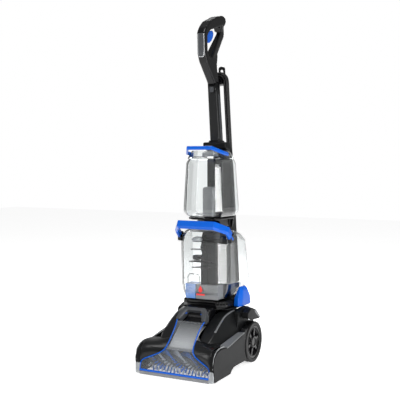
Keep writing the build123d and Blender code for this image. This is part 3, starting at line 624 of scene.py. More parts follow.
def make_cheeks():
    rows = eased(CHEEK_STATIONS, 14, 4)
    for side, s in SIDES:
        rings = []
        for y, top, inner, outer, foot_x, foot_z in rows:
            ring = rounded([(inner, foot_z, 1), (inner, top, 5), (outer, top, 7), (foot_x, foot_z, 2)],
                step=18)
            rings.append([(s * p.x, y, p.y) for p in ring])
        piece = skinned(f"cheek_shell_{side}", rings, "foot", *CHARCOAL)
        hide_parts(f"cheek_{side}")
        # A grey strip along each cheek's outer top edge paints the highlight on its rounded edge.
        ridge = [row for row in rows if -190 < row[0] < -50]
        edge = [(s * (outer - 2.2), y, top - 2.2) for y, top, _, outer, _, _ in ridge]
        swept(f"cheek_highlight_strip_{side}", edge, circle(2.9, 10), "foot", mid_grey_and_painted_highlight, "grey_plastic")
        # A grey rim round each cheek's front tip paints its highlight.
        y, top, inner, outer, foot_x, foot_z = CHEEK_STATIONS[0]
        tip = eased([(s * (inner + 1), y - 0.5, foot_z + 1), (s * (inner + 1), y + 1.5, top - 1),
            (s * (outer - 3), y + 1.5, top - 1), (s * (foot_x - 2), y - 0.5, foot_z + 1)], 3, 3)
        swept(f"cheek_tip_highlight_{side}", tip, circle(1.8, 8), "foot", *GREY, up=(0, -1, 0))


ARCH_R = 69.0             # of the wheel arch in the skirt
SKIRT_X = (118.8, 133)
FENDER_X = (92, 109.6)    # inside the wheel


def arch_points(first, last, radius, count=24):
    """An arc about the wheel's axle, from one angle in degrees to another."""
    angles = [math.radians(first + (last - first) * k / count) for k in range(count + 1)]
    return [Vector((radius * math.cos(a), WHEEL_R + radius * math.sin(a))) for a in angles]


def make_skirts():
    corners = [
        (-50, 18, 2), (-112, 19, 20), (-150, 19, 20), (-166, 12, 12), (-174, 3.5, 10), (-283, 3.5, 6),
        (-292, 50, 34), (-284, 77, 14), (-264, 91, 18), (-240, 94.5, 20), (-200, 91, 30), (-104, 101, 60),
        (-74, 112, 20), (-62, 126, 8),
    ]
    for side, s in SIDES:
        x0, x1 = sorted(s * x for x in SKIRT_X)
        outline = rounded(corners)[1:-1] + arch_points(122, 222, ARCH_R)
        piece = slab(f"skirt_{side}", [outline], x0, x1, "X", 2.6, "foot", slate, "charcoal_plastic", 3)
        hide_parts(f"side_panel_{side}")
        top = [(116, -219, 98.5), (116, -88, 112.5), (134, -74, 111.5), (134, -199, 90.5)]
        points = [(s * x, y, z) for x, y, z in top] + [(s * x, y, z - 4) for x, y, z in top]
        faces = [(0, 1, 2, 3), (7, 6, 5, 4), (0, 4, 5, 1), (1, 5, 6, 2), (2, 6, 7, 3), (3, 7, 4, 0)]
        ledge = from_faces(f"skirt_ledge_{side}", points, faces, "foot", mid_grey_and_painted_highlight, "grey_plastic")
        soften(ledge, 1.5)
        # A pale strip down each skirt's front edge paints the highlight along its rounded top.
        strip = eased([(s * 130, -289.5, 44), (s * 130, -286, 70), (s * 129.5, -275, 86),
            (s * 128, -252, 94.5), (s * 127, -232, 95.5), (s * 126, -206, 93.5)], 9)
        swept(f"skirt_highlight_strip_{side}", strip, [(a * 0.6, b * 1.5) for a, b in circle(1.5, 8)], "foot", pale,
            "grey_plastic", up=(0, -0.7, 0.7))
        inner0, inner1 = sorted(s * x for x in FENDER_X)
        fender = [(-100, 92, 10), (-78, 108, 10), (-72, 140, 10), (-66, 168, 10), (-34, 178, 16),
            (8, 177, 20), (38, 166, 14), (50, 150, 10), (53, 112, 6)]
        ring = rounded(fender) + arch_points(42, 158, ARCH_R - 10)
        slab(f"fender_{side}", [ring], inner0, inner1, "X", 3, "foot", slate, "black_plastic", 3)


def make_collar():
    """The grey arch over the duct's mouth, lying on the window's slope."""
    low, high = Vector((-176, 158)), Vector((-142, 187))
    run = (high - low).normalized()
    lift = Vector((-run.y, run.x))

    def on_slope(a, b, c):
        spot = low + run * b + lift * c
        return a, spot.x, spot.y

    half = [(38, -6, 2), (51, -6, 3), (49, 18, 12), (37, 43, 14)]
    inner = [(-24, 31, 9), (-30, 14, 8), (-38, -6, 2)]
    rim = rounded(half + [(-a, b, r) for a, b, r in reversed(half[1:])] + inner[::-1]
        + [(-a, b, r) for a, b, r in inner[:2]])
    arch = slab("neck_arch", [rim], -14, 7, on_slope, 3.4, "foot", *GREY, 3)
    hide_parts("neck_collar")
    slab("neck_throat", [rounded(mirror_line([(48, -4, 3), (36, 38, 8)]))], -20, -15, on_slope, 1, "foot",
        *BLACK)
    back = rounded([(-150, 100, 2), (-152, 168, 8), (-140, 184, 8), (-112, 190, 6), (-100, 176, 6),
        (-96, 100, 2)])
    slab("neck_block", [back], -47, 47, "X", 5, "foot", *BLACK)


# ---- brush -----------------------------------------------------------------------------------------
BRUSH_Y, BRUSH_Z, BRUSH_R, TUFT_R = -236.0, 38.0, 18.0, 36.0
HELIX = 225.0             # how far along the brush a row goes in one turn
ROW_STARTS = 3            # rows of each colour
TUFTS, TUFT_SPAN = 25, 196.0
FILAMENTS = 11            # drawn in each tuft


def make_bristles():
    """Rows of tufts wound round the core, each tuft a spread bundle of filaments."""
    middle = Vector((0, BRUSH_Y, BRUSH_Z))
    for colour, stuff, shift, slot in (("white", nylon_white, 0, "nylon_white"),
            ("blue", nylon_blue, 60, "nylon_blue")):
        points, faces = [], []
        for start in range(ROW_STARTS):
            for i in range(TUFTS):
                x = TUFT_SPAN * (i / (TUFTS - 1) - 0.5)
                angle = math.radians(shift + start * 120) + 2 * math.pi * x / HELIX
                out = Vector((0, math.cos(angle), math.sin(angle)))
                round_way = Vector((0, -math.sin(angle), math.cos(angle)))
                for k in range(FILAMENTS):
                    spin = 2.4 * k
                    spread = 0.4 + 0.24 * k
                    side = Vector((1, 0, 0)) * math.cos(spin) + round_way * math.sin(spin)
                    foot = middle + Vector((x, 0, 0))
                    root = foot + out * (BRUSH_R - 0.5) + side * spread * 0.6
                    tip = foot + out * (TUFT_R - 0.25 * k) + side * spread
                    base = len(points)
                    cross = out.cross(side)
                    for end, thick in ((root, 0.8), (tip, 0.75)):
                        points += [tuple(end + side * thick), tuple(end + cross * thick),
                            tuple(end - side * thick), tuple(end - cross * thick)]
                    faces += [(base + a, base + (a + 1) % 4, base + 4 + (a + 1) % 4, base + 4 + a)
                        for a in range(4)]
                    faces += [(base + 7, base + 6, base + 5, base + 4), (base, base + 1, base + 2, base + 3)]
        piece = from_faces(f"tufts_{colour}", points, faces, "brush", stuff, slot)
        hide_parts(f"bristles_{colour}")
    profile = []
    for i in range(49):
        x = -104 + 4.33 * i
        profile += [(x, BRUSH_R), (x + 1.8, BRUSH_R + 0.3), (x + 3.2, BRUSH_R)]
    lathe("brush_sleeve", [(-104.5, 6)] + profile[:-1] + [(106.5, BRUSH_R), (107.5, 6)],
        (0, BRUSH_Y, BRUSH_Z), "brush", sleeve, "grey_plastic", 40)


# ---- wheels ----------------------------------------------------------------------------------------
def make_wheels():
    for side, s in SIDES:
        body = f"wheel_{side}"
        tread = []
        for k in range(144):
            angle = 2 * math.pi * k / 144
            cut = 1.2 if k % 4 == 0 else 0
            ring = []
            for x, r in ((109.5, 53), (109.5, 59), (111.5, 63.4), (114.5, 65 - cut), (119.4, 65 - cut),
                    (120.3, 63.6), (123.7, 63.6), (124.6, 65 - cut), (131.5, 65 - cut), (133.7, 64.0),
                    (134.7, 61.5), (134.3, 54), (132.4, 52.2)):
                ring.append((s * x, r * math.cos(angle), WHEEL_R + r * math.sin(angle)))
            tread.append(ring)
        tread.append(tread[0])
        tyre = skinned(f"tyre_{side}", tread, body, rubber, "tyre_rubber", caps=False, around=False)
        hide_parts(f"wheel_tyre_{side}")
        dish = [
            (110.5, 6), (110.5, 52.5), (131.2, 52.5), (132.6, 51), (132.6, 46.5), (131.4, 45), (126.5, 43.5),
            (125, 41.5), (125, 22), (126.2, 20.6), (131.6, 19.6), (133, 18.2), (133.4, 15), (132, 13),
            (131.6, 5), (131.6, 0.2),
        ]
        hub = lathe(f"hub_{side}", [(s * x, r) for x, r in dish], (0, 0, WHEEL_R), body, *BLACK, 96)
        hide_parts(f"wheel_hub_{side}")
        ring = [(131.9, 46.4), (133.4, 46.2), (134, 44.8), (133.2, 43.6), (131.4, 43.8)]
        lathe(f"hub_ring_{side}", [(s * x, r) for x, r in ring + ring[:1]], (0, 0, WHEEL_R), body,
            *CHARCOAL, 96)
        cap = [(132.5, 18.6), (134, 17.6), (134.4, 14.2), (133.4, 12.6), (132.2, 12.8)]
        lathe(f"hub_cap_ring_{side}", [(s * x, r) for x, r in cap + cap[:1]], (0, 0, WHEEL_R), body, black,
            "grey_plastic", 72)
        for k in range(6):
            angle = math.radians(60 * k + 14)
            outline = []
            for a, b in box_outline(20.5, 44.5, -4.5, 4.5, 2):
                outline.append((a * math.cos(angle) - b * math.sin(angle),
                    WHEEL_R + a * math.sin(angle) + b * math.cos(angle)))
            x0, x1 = sorted((s * 124, s * 130.6))
            slab(f"hub_spoke_{side}_{k + 1}", [outline], x0, x1, "X", 1.2, body, black, "charcoal_plastic")


PEDAL_X = (110.5, 133.5)
PEDAL_RIBS = 5


def make_pedal():
    outline = rounded([(-48, 152, 3), (-46, 166, 4), (-20, 180, 16), (12, 168, 16), (48, 138, 3),
        (44, 133, 3), (4, 136.5, 10), (-30, 144, 3)])
    piece = slab("pedal_shell", [outline], *PEDAL_X, "X", 2.5, "pedal", slate, "grey_plastic", 3)
    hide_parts("recline_pedal")
    tread = rounded([(2, 166, 2), (10, 169.8, 4), (20, 164, 8), (49.5, 139, 3), (45.5, 133.5, 3),
        (26, 145, 8), (8, 158, 6)])
    slab("pedal_tread", [tread], 110, 134, "X", 2, "pedal", mid_grey_and_painted_highlight, "grey_plastic", 3)
    for k in range(PEDAL_RIBS):
        t = 0.25 + 0.15 * k
        y, z = 12 + 36 * t, 170.8 - 31 * t
        swept(f"pedal_rib_{k + 1}", [(113, y, z), (131, y, z)], circle(1.0, 8), "pedal", *BLACK)


make_window()
make_lip()
make_brush_cover()
make_cheeks()
make_skirts()
make_collar()
make_bristles()
make_wheels()
make_pedal()


# ---- upright ---------------------------------------------------------------------------------------
def rear_y(z):
    """The housing's back at a height: upright low down, leaning forward above."""
    if z <= 250:
        return 90.0
    if z <= 500:
        return 90 - (z - 250) * 32 / 250
    return 58 - (z - 500) * 22 / 172


def make_seat():
    rim = rounded(mirror_line([(52, -105), (78, -84), (82, 40), (62, 88)]), 8)
    piece = slab("seat_pan", [rim], 184, 195, "Z", 3, "upright", *BLACK, 3)
    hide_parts("tank_seat")
    inner = rounded(mirror_line([(50, -101), (74, -82), (78, 34), (50, 34)]), 7)
    slab("seat_cushion", [inner], 195, 204.3, "Z", 2, "upright", *BLACK)
    count = 46
    ring = rounded(mirror_line([(51, -103.5), (76.5, -83), (80.5, 38)]), 8)
    total = sum((b - a).length for a, b in zip(ring, ring[1:]))
    spots, walked, target = [], 0.0, 0.0
    for a, b in zip(ring, ring[1:]):
        length = (b - a).length
        while length and target <= walked + length:
            spots.append((a.lerp(b, (target - walked) / length), (b - a).normalized()))
            target += total / count
        walked += length
    points, faces = [], []
    for spot, way in spots:
        out = Vector((way.y, -way.x))
        base = len(points)
        for z, deep in ((186, 2.0), (201, 2.0), (203.5, 0.4)):
            for a, b in ((-1.8, -2.5), (1.8, -2.5), (1.3, deep), (-1.3, deep)):
                p = spot + way * a + out * b
                points.append((p.x, p.y, z))
        for level in (0, 4):
            faces += [(base + level + k, base + level + (k + 1) % 4, base + level + 4 + (k + 1) % 4,
                base + level + 4 + k) for k in range(4)]
        faces += [(base + 3, base + 2, base + 1, base), (base + 8, base + 9, base + 10, base + 11)]
    ribs = from_faces("seat_ribs", points, faces, "upright", *BLACK)
    soften(ribs, 0.5, 2)


def make_seat_plinth():
    """The block that carries the seat down between the foot's cheeks."""
    rim = rounded(mirror_line([(48, -98), (70, -80), (74, 38), (56, 80)]), 8)
    slab("seat_plinth", [rim], 177.5, 185, "Z", 2, "upright", *BLACK, 3)
    apron = rounded(mirror_line([(48, -92), (80, -84), (90, -50), (90, 40), (60, 60)]), 6)
    slab("seat_apron", [apron], 176.2, 181, "Z", 1.5, "upright", slate, "black_plastic", 3)
    web = rounded([(-26, 128, 4), (-40, 180, 4), (24, 180, 4), (14, 128, 4)])
    slab("yoke_web", [web], -36, 36, "X", 3, "upright", slate, "black_plastic")


HOUSING_HALF = 42.0
SEAM_Y = 29.4             # where the housing's front and rear halves meet
VENT_LOW, VENT_PITCH, VENT_COUNT = 236, 9, 9
SCREW_X, SCREW_HEIGHTS = 32, (230, 330, 450, 560)


def make_housing():
    outline = rounded([(10, 190, 3), (10, 674, 3), (-19, 683, 6), (-22, 704, 5), (14, 704, 8),
        (36, 672, 14), (58, 500, 60), (90, 250, 40), (90, 190, 6)])
    shell = slab("housing_shell", [outline[::-1]], -HOUSING_HALF, HOUSING_HALF, "X", 7, "upright", slate,
        "charcoal_plastic", 4)
    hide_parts("housing_front", "housing_rear")
    for side, s in SIDES:
        seam = [(s * (HOUSING_HALF - 0.05), SEAM_Y, z) for z in (200, 668)]
        swept(f"housing_seam_{side}", seam, circle(0.5, 6), "upright", *BLACK, up=(0, 1, 0))
    for k in range(VENT_COUNT):
        z = VENT_LOW + VENT_PITCH * k
        louvre = rounded([(-24, z), (24, z), (24, z + 4), (-24, z + 4)], 1.9)
        slab(f"vent_slat_{k + 1}", [louvre], rear_y(z) - 2.5, rear_y(z) + 1.4, "Y", 1, "upright", *BLACK)
    head = [(0, 4.6), (0.9, 4.4), (0.9, 3.4), (-1.5, 3.0), (-1.5, 0.1)]
    for z in SCREW_HEIGHTS:
        for side, s in SIDES:
            spot = (s * SCREW_X, rear_y(z), z)
            lathe(f"screw_{side}_{z}", head, spot, "upright", steel, "steel", 24, axis="Y")
    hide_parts("body_screws")
    hose = eased([(41, 22, 430), (47, 22, 446), (50, 24, 490), (50, 14, 548), (44, 10, 572)], 12)
    swept("water_hose", hose, circle(4.5, 12), "upright", black, "belt_rubber", up=(0, 1, 0))
    fin = rounded([(8, 700, 2), (31, 700, 6), (24, 760, 30), (17, 806, 6), (4, 806, 2)])
    slab("spine_fin", [fin], -8, 8, "X", 2.5, "upright", *BLACK, 3)


def make_ledge():
    outline = rounded([(9, 432, 3), (9, 465.3, 2), (-103, 465.3, 3), (-105, 459, 3), (-62, 453, 20),
        (-50, 432, 8)])
    piece = slab("ledge_bracket", [outline], -40, 40, "X", 3, "upright", *BLACK, 3)
    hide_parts("tank_ledge")
    rim = rounded(mirror_line([(40, -104), (56, -90), (62, 8)]), 8)
    slab("ledge_tray", [rim], 459, 465.2, "Z", 2, "upright", *BLACK)


TUBE_LOW, TUBE_TOP = 686, 890


def tube_ring(z, grow=0.0):
    """The handle tube's rounded section at a height."""
    share = (z - TUBE_LOW) / (TUBE_TOP - TUBE_LOW)
    half = 18 - 2 * share + grow
    front, rear = -14.5 - 25.5 * share - grow, 14.5 - 22 * share + grow
    return [(p.x, p.y, z) for p in rounded([(half, front), (half, rear), (-half, rear), (-half, front)],
        6.5, step=15)]


def make_tube():
    piece = skinned("tube_shell", [tube_ring(z) for z in (TUBE_LOW, 720, 800, 860, 892)], "upright",
        *CHARCOAL)
    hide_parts("handle_tube")
    skinned("tube_socket", [tube_ring(z, g) for z, g in ((690, 4.5), (704, 4.5), (709, 3), (710, 0))],
        "upright", *BLACK)
    # A lighter grey strip down each side of the tube paints the highlight seen there.
    for side, s in SIDES:
        points, faces = [], []
        rows = [(712, 0), (716, 1), (800, 1), (852, 1), (856, 0)]
        for z, full in rows:
            share = (z - TUBE_LOW) / (TUBE_TOP - TUBE_LOW)
            x = 18 - 2 * share
            mid = -23.75 * share
            for out in (-1.5, 0.8):
                for dy in (-4.2 * (0.5 + 0.5 * full), 4.2 * (0.5 + 0.5 * full)):
                    points.append((s * (x + out), mid + dy, z))
        for i in range(len(rows) - 1):
            a = 4 * i
            for p, q in ((0, 1), (1, 3), (3, 2), (2, 0)):
                faces.append((a + p, a + q, a + 4 + q, a + 4 + p))
        faces += [(0, 2, 3, 1), (4 * len(rows) - 4, 4 * len(rows) - 3, 4 * len(rows) - 1, 4 * len(rows) - 2)]
        soften(from_faces(f"tube_highlight_strip_{side}", points, faces, "upright", *GREY), 0.5, 2)


LOOP_RIM = [
    (-40, 889, 1), (-99, 951, 34), (-112, 976, 24), (-115, 1040, 22), (-105, 1056, 12), (-78, 1078, 30),
    (-22, 1101, 50), (14, 1110, 24), (34, 1108, 10), (40, 1094, 8), (31, 1080, 8), (39, 1056, 10),
    (35, 1044, 12), (-34, 958, 60), (-8, 889, 1),
]
LOOP_HOLE = [(-92, 984, 12), (-93, 1032, 10), (-72, 1054, 16), (0, 1074, 7), (9, 1056, 7), (-64, 970, 10),
    (-80, 966, 10)]


LOOP_HALF, GRIP_HALF, TRIGGER_HALF = 15, 15.8, 7.8
STRUT_WAIST = 0.48        # share of its width that the rear strut loses


def narrow_strut(shell):
    """Slims the loop's rear strut, easing back to the full width above and below it."""
    for vertex in shell.data.vertices:
        y, z = (vertex.co.y - AXLE_Y) / MM, vertex.co.z / MM
        hole_y = -64 + (z - 970) * 73 / 86
        if y > hole_y - 4:
            rise = min(max((z - 968) / 26, 0), 1) * min(max((1092 - z) / 26, 0), 1)
            vertex.co.x *= 1 - STRUT_WAIST * rise * rise * (3 - 2 * rise)


def make_loop():
    shell = slab("loop_shell", [rounded(LOOP_RIM), rounded(LOOP_HOLE)], -LOOP_HALF, LOOP_HALF, "X", 6,
        "upright", *BLACK, 5)
    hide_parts("handle_shell_left", "handle_shell_right")
    narrow_strut(shell)
    grip = rounded([(-104, 1057.5, 12), (-78, 1079.5, 30), (-22, 1102.6, 50), (14, 1111.2, 24),
        (33, 1108, 10), (24, 1082, 6), (0, 1074, 4), (-72, 1052.5, 10), (-90, 1036, 8)])
    slab("grip_overmould", [grip], -GRIP_HALF, GRIP_HALF, "X", 6, "upright", rubber, "tyre_rubber", 4)
    face = []
    strut = eased([(-110.6, 968), (-113.6, 990), (-115.5, 1037)], 10)
    for y, z in strut:
        face.append([(x, y - lift, z) for x, lift in ((-10, 0.2), (-9, 1.6), (-5, 2.2), (5, 2.2), (9, 1.6),
            (10, 0.2))])
    badge = skinned("badge_plate", face, "upright", grey, "silver_plastic", around=True)
    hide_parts("badge_panel")
    trim = [(-11, -115.2, 1036), (-11, -112.2, 980), (-8, -110.6, 966), (8, -110.6, 966), (11, -112.2, 980),
        (11, -115.2, 1036)]
    swept("badge_trim", eased(trim, 4, 3), circle(1.4, 8), "upright", silver, "silver_plastic",
        up=(0, -1, 0.05))
    trigger = rounded([
        (-88, 1042, 2), (-84, 1047, 2), (-70, 1050.5, 2), (-47, 1055, 2), (-39.5, 1048, 4), (-43, 1034, 8),
        (-54, 1021, 10), (-68, 1013, 8), (-80, 1013, 6), (-88, 1022, 4)])
    piece = slab("trigger_blade", [trigger], -TRIGGER_HALF, TRIGGER_HALF, "X", 2.4, "trigger", *BLUE, 3)
    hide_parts("trigger")
    button = slab("button_cap", [box_outline(-7, 7, 862, 880, 3)], -40.8, -35, "Y", 1.2, "power_button",
        *GREY)
    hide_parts("power_button")
    rim = [box_outline(-9.5, 9.5, 859.5, 882.5, 4.5), box_outline(-7.5, 7.5, 861.5, 880.5, 3.2)]
    slab("button_bezel", rim, -40.2, -36, "Y", 0.8, "upright", *BLACK)


def make_port_cover():
    levels = [
        (181.5, [(83, -42), (98, -46), (105, -30), (107, 24), (98, 41), (92, 41)]),
        (186, [(82, -45), (99, -49), (106, -32), (109, 27), (99, 44), (91, 44)]),
        (208, [(84, -45), (99, -48), (107, -28), (109, 23), (99, 42), (93, 42)]),
        (234, [(90, -35), (99, -37), (104, -22), (105, 10), (99, 19), (95, 19)]),
        (244, [(92, -26), (96, -27), (99, -16), (100, 3), (98, 9), (95, 9)]),
    ]
    rings = [[(x, y, z) for x, y in ring] for z, ring in levels]
    piece = skinned("port_cover_shell", rings, "side_port_cover", *BLUE)
    soften(piece, 1.6, 3, 12)
    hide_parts("port_cover")


make_seat()
make_seat_plinth()
make_housing()
make_ledge()
make_tube()
make_loop()
make_port_cover()


# ---- tanks -----------------------------------------------------------------------------------------
LOWER_LEVELS = [
    (206, [(48, -98), (61, -84), (66, 26), (50, 33), (46, 33), (46, 7)]),
    (211, [(54, -106), (69, -89), (73, 31), (57, 40), (46, 40), (46, 6.5)]),
    (234, [(58, -113), (79, -89), (80, 35), (62, 45), (46, 45), (46, 6.5)]),
    (262, [(60, -117), (83, -90), (104, 36), (80, 48), (46, 48), (46, 6.5)]),
    (390, [(60, -121), (83, -91), (97, 15), (76, 27), (46, 27), (46, 6.5)]),
    (410, [(57, -118), (77, -91), (89, -3), (66, 6), (46, 6.3), (46, 6.2)]),
    (423, [(51, -108), (69, -85), (78, -28), (58, -16), (46, -15), (40, -15)]),
    (426, [(44, -98), (60, -80), (68, -36), (52, -26), (44, -25), (38, -25)]),
]
UPPER_LEVELS = [
    (466, [(38, -100), (52, -86), (58, -6), (48, 1)]),
    (469, [(44, -109), (60, -93), (68, 0), (56, 6.5)]),
    (482, [(50, -118), (70, -98), (78, 2), (60, 7)]),
    (500, [(50, -118), (70, -98), (79, 4), (60, 7)]),
    (638, [(46, -112), (64, -91), (70, -2), (54, 7)]),
    (650, [(42, -104), (58, -85), (65, -6), (50, 4)]),
    (658, [(36, -94), (48, -76), (54, -14), (40, -4)]),
]


def tank_rings(levels, radii):
    """Rings up a tank: each level's right half, mirrored, with rounded corners and eased walls."""
    flat = [[z] + [v for point in half for v in point] for z, half in levels]
    rings = []
    for row in eased(flat, 5, 4):
        z = row[0]
        half = [(row[i], row[i + 1], r) for i, r in zip(range(1, len(row), 2), radii)]
        rings.append([(p.x, p.y, z) for p in fixed_rounded(mirror_line(half), 5)])
    return rings


def make_lower_tank():
    body = "lower_tank"
    shell = skinned("lower_tank_shell", tank_rings(LOWER_LEVELS, (3.5, 3.5, 9, 6, 5, 5)), body, clear,
        "clear_plastic")
    clear_wall(shell)
    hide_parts("dirty_tank")
    lid = slab("lower_tank_lid_frame", [
        rounded(mirror_line([(44, -99), (60, -82), (66, -38), (48, -26)]), 8),
        rounded(mirror_line([(36, -90), (50, -77), (54, -44), (38, -34)]), 8)], 424.5, 430, "Z", 1.5, body,
        clear_end, "clear_plastic")
    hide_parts("dirty_tank_lid")
    slab("lower_tank_lid_plug", [rounded(mirror_line([(30, -84), (30, -42)]), 8)], 420, 431.5, "Z", 2, body,
        *BLACK)
    stack = slab("stack_column", [rounded([(-12, 250, 4), (41, 250, 4), (41, 384, 4), (30, 398, 8),
        (-6, 398, 8), (-14, 372, 6), (-8, 352, 6), (-12, 330, 6)])], -92, -54, "Y", 3, body, *CHARCOAL, 3)
    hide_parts("intake_stack")
    slab("stack_front_rib", [box_outline(8, 14, 256, 380, 2)], -94.5, -91, "Y", 1, body, slate,
        "charcoal_plastic")
    slab("stack_window", [box_outline(0, 26, 352, 378, 3)], -94, -91, "Y", 1, body, *BLACK)
    slab("stack_head", [rounded([(-14, 396, 4), (38, 396, 4), (34, 421, 8), (-6, 421, 8)])], -88, -50, "Y",
        3, body, *BLACK)
    for k, (z, x0, x1, y0) in enumerate(((389, -42, 8, -98), (364, -48, 6, -100), (325, -52, 30, -104),
            (306, -44, 24, -100))):
        fin = rounded([(x0, y0, 8), (x1, y0, 4), (x1, -60, 4), (x0 + 8, -60, 10)])
        slab(f"stack_fin_{k + 1}", [fin], z - 1.3, z + 1.3, "Z", 0.8, body, *CHARCOAL)
    dome = [(0, 21), (3, 20.6), (8, 17), (12, 10), (14, 0.2)]
    lathe("float_bowl", dome, (-26, -82, 391), body, clear_end, "clear_plastic", 36, axis="Z")
    for name, x0, x1, stuff in (("grey", -20, 57, tint_grey), ("blue", -57, -21, tint_blue)):
        outline = box_outline(x0, x1, 209, 256, 2)
        slab(f"foot_insert_{name}", [outline], -110, -70, "Y", 2, body, stuff, "smoke_plastic")
    loop = [(-46, -111.5, 258), (-46, -112, 282), (-40, -112.4, 288), (-10, -112.4, 288), (-5, -112, 282),
        (-5, -111.5, 258)]
    swept("level_frame", eased(loop, 4, 3), circle(1.1, 8), body, charcoal, "grey_plastic", up=(0, 1, 0))
    drop = [(0.0, 17.0), (3.0, 12.0), (6.0, 6.0), (6.6, 2.0), (5.0, -2.6), (0.0, -5.0)]
    mark = [(x, 236 + z) for x, z in drop] + [(-x, 236 + z) for x, z in drop[-2:0:-1]]
    slab("tank_mark", [[Vector(p) for p in mark]], -117.2, -115.6, "Y", 0.3, body, enamel, "blue_plastic")
    wave = rounded([(-15, 222, 2), (-15, 227, 2), (15, 227, 2), (15, 222, 2)])
    slab("tank_mark_bar", [wave], -116.6, -115, "Y", 0.3, body, enamel, "blue_plastic")
    ball = slab("float_ball", [box_outline(-46, -20, 328, 344, 6)], -84, -58, "Y", 4, "float", *CHARCOAL, 3)
    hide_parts("tank_float")


def bar_section(wide, tall, top):
    """A handle's section: widest low down, drawn in below and sloping in to a narrower top."""
    foot, waist = wide * 0.45, -tall * 0.3
    return [tuple(p) for p in rounded([
        (-wide + foot, -tall, 1.5), (wide - foot, -tall, 1.5), (wide, waist, 1), (wide - top, tall, 2),
        (-wide + top, tall, 2), (-wide, waist, 1)], step=30)]


def make_lower_handle():
    body = "lower_tank_handle"
    path = [(90, -76, 402), (89, -106, 428), (61, -146, 446), (-61, -146, 446), (-89, -106, 428),
        (-90, -76, 402)]
    piece = swept("lower_handle_bar", path, bar_section(6.5, 13, 5), body, *BLUE)
    soften(piece, 1.2, 3, 20)
    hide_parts("dirty_tank_handle")
    for side, s in SIDES:
        slab(f"handle_pad_{side}", [rounded([(-92, 388, 5), (-70, 388, 5), (-64, 404, 5), (-76, 420, 5),
            (-94, 408, 5)])], *sorted((s * 82.5, s * 95)), "X", 2.5, body, *BLACK)


CAP_Y, CAP_Z, CAP_R, CAP_RIBS = -50, 658, 23.4, 24


def make_upper_tank():
    body = "upper_tank"
    shell = skinned("upper_tank_shell", tank_rings(UPPER_LEVELS, (3.5, 3.5, 10, 8)), body, clear,
        "clear_plastic")
    clear_wall(shell)
    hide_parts("clean_tank")
    well = slab("valve_well_shell", [rounded([(2, 470, 1), (2, 563, 9), (38, 563, 9), (38, 470, 1)])], -106,
        -84, "Y", 3, body, tint_grey, "grey_plastic", 3)
    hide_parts("valve_well")
    swept("dip_pipe", [(33, -84, 562), (33, -84, 640), (30, -80, 648)], circle(2.6, 10), body, *BLACK,
        up=(0, 1, 0))
    coaming_rings = [
        [(p.x, p.y, z) for p in fixed_rounded(mirror_line(half), 5)] for z, half in (
            (651, [(45, -108, 4), (62, -86, 4), (66, -7, 8), (50, 3, 6)]),
            (664, [(41, -103, 4), (58, -81, 4), (62, -14, 8), (46, -4, 6)]),
            (676, [(35, -95, 4), (52, -74, 4), (57, -24, 8), (42, -14, 6)]))]
    coaming = skinned("upper_tank_coaming", coaming_rings, body, clear, "clear_plastic", caps=False)
    clear_wall(coaming, 1.6)
    cap = [(0, 0.2), (0, 23), (1, 23.6), (9, 23.6), (11, 22), (11, 16), (9.6, 14), (9.6, 0.2)]
    top = lathe("fill_cap_shell", cap, (0, CAP_Y, CAP_Z), "fill_cap", clear_end, "grey_plastic", 48, axis="Z")
    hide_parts("clean_tank_cap")
    for k in range(CAP_RIBS):
        angle = 2 * math.pi * k / CAP_RIBS
        x, y = CAP_R * math.cos(angle), CAP_Y + CAP_R * math.sin(angle)
        swept(f"cap_rib_{k + 1}", [(x, y, 660), (x, y, 667)], circle(0.9, 6), "fill_cap", clear_end,
            "grey_plastic", up=(1, 0, 0))
    path = [(63, -50, 665), (64, -84, 669), (42, -123, 684), (-42, -123, 684), (-64, -84, 669),
        (-63, -50, 665)]
    handle = swept("upper_handle_bar", path, bar_section(3.6, 6, 2), body, *BLUE)
    soften(handle, 1.0, 3, 20)
    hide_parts("clean_tank_handle")


make_lower_tank()
make_lower_handle()
make_upper_tank()


# ---- cord ------------------------------------------------------------------------------------------
CORD_D = 6.6
LEAN = math.radians(7.3)
HOOK_AT = Vector((0, -8.2, 898))
BACKWARD = Vector((0, math.cos(LEAN), math.sin(LEAN)))
DOWNWARD = Vector((0, math.sin(LEAN), -math.cos(LEAN)))
HANK_TOP = HOOK_AT + BACKWARD * ((8.9 + 8.2) / math.cos(LEAN))
HANK_SPAN = (898 - 495) / math.cos(LEAN)
COLUMNS = (19.4, 26.2)    # how far the two columns of turns stand from the middle
LAYERS = (3.6, 10.4, 17.2, 24.0)
ARC, ARC_OUT = (0, 30, 60, 90, 120, 150, 180), 1.04  # control points stand a little outside their arc
TURNS = [(0, 1), (0, 0), (1, 0), (1, 1), (2, 1), (2, 0), (3, 0)]


def hank_spot(x, down, back):
    return HANK_TOP + Vector((x, 0, 0)) + DOWNWARD * down + BACKWARD * back


def hank_points():
    """Seven turns, wound up the right leg, over the upper hook and down the left."""
    points = []
    for i, (layer, column) in enumerate(TURNS):
        back, reach = LAYERS[layer], COLUMNS[column]
        points.append(hank_spot(reach, HANK_SPAN - 40, back))
        points.append(hank_spot(reach, HANK_SPAN * 0.5, back))
        points.append(hank_spot(reach, 40, back))
        for angle in ARC:
            a = math.radians(angle)
            points.append(hank_spot(ARC_OUT * reach * math.cos(a), -ARC_OUT * reach * math.sin(a), back))
        points.append(hank_spot(-reach, 40, back))
        points.append(hank_spot(-reach, HANK_SPAN * 0.5, back))
        points.append(hank_spot(-reach, HANK_SPAN - 40, back))
        if i == len(TURNS) - 1:
            break
        next_back, next_reach = LAYERS[TURNS[i + 1][0]], COLUMNS[TURNS[i + 1][1]]
        for angle in ARC:
            a = math.radians(angle)
            share = angle / 180
            wide = ARC_OUT * (reach + (next_reach - reach) * share)
            points.append(hank_spot(-wide * math.cos(a), HANK_SPAN + wide * math.sin(a),
                back + (next_back - back) * share))
    return points


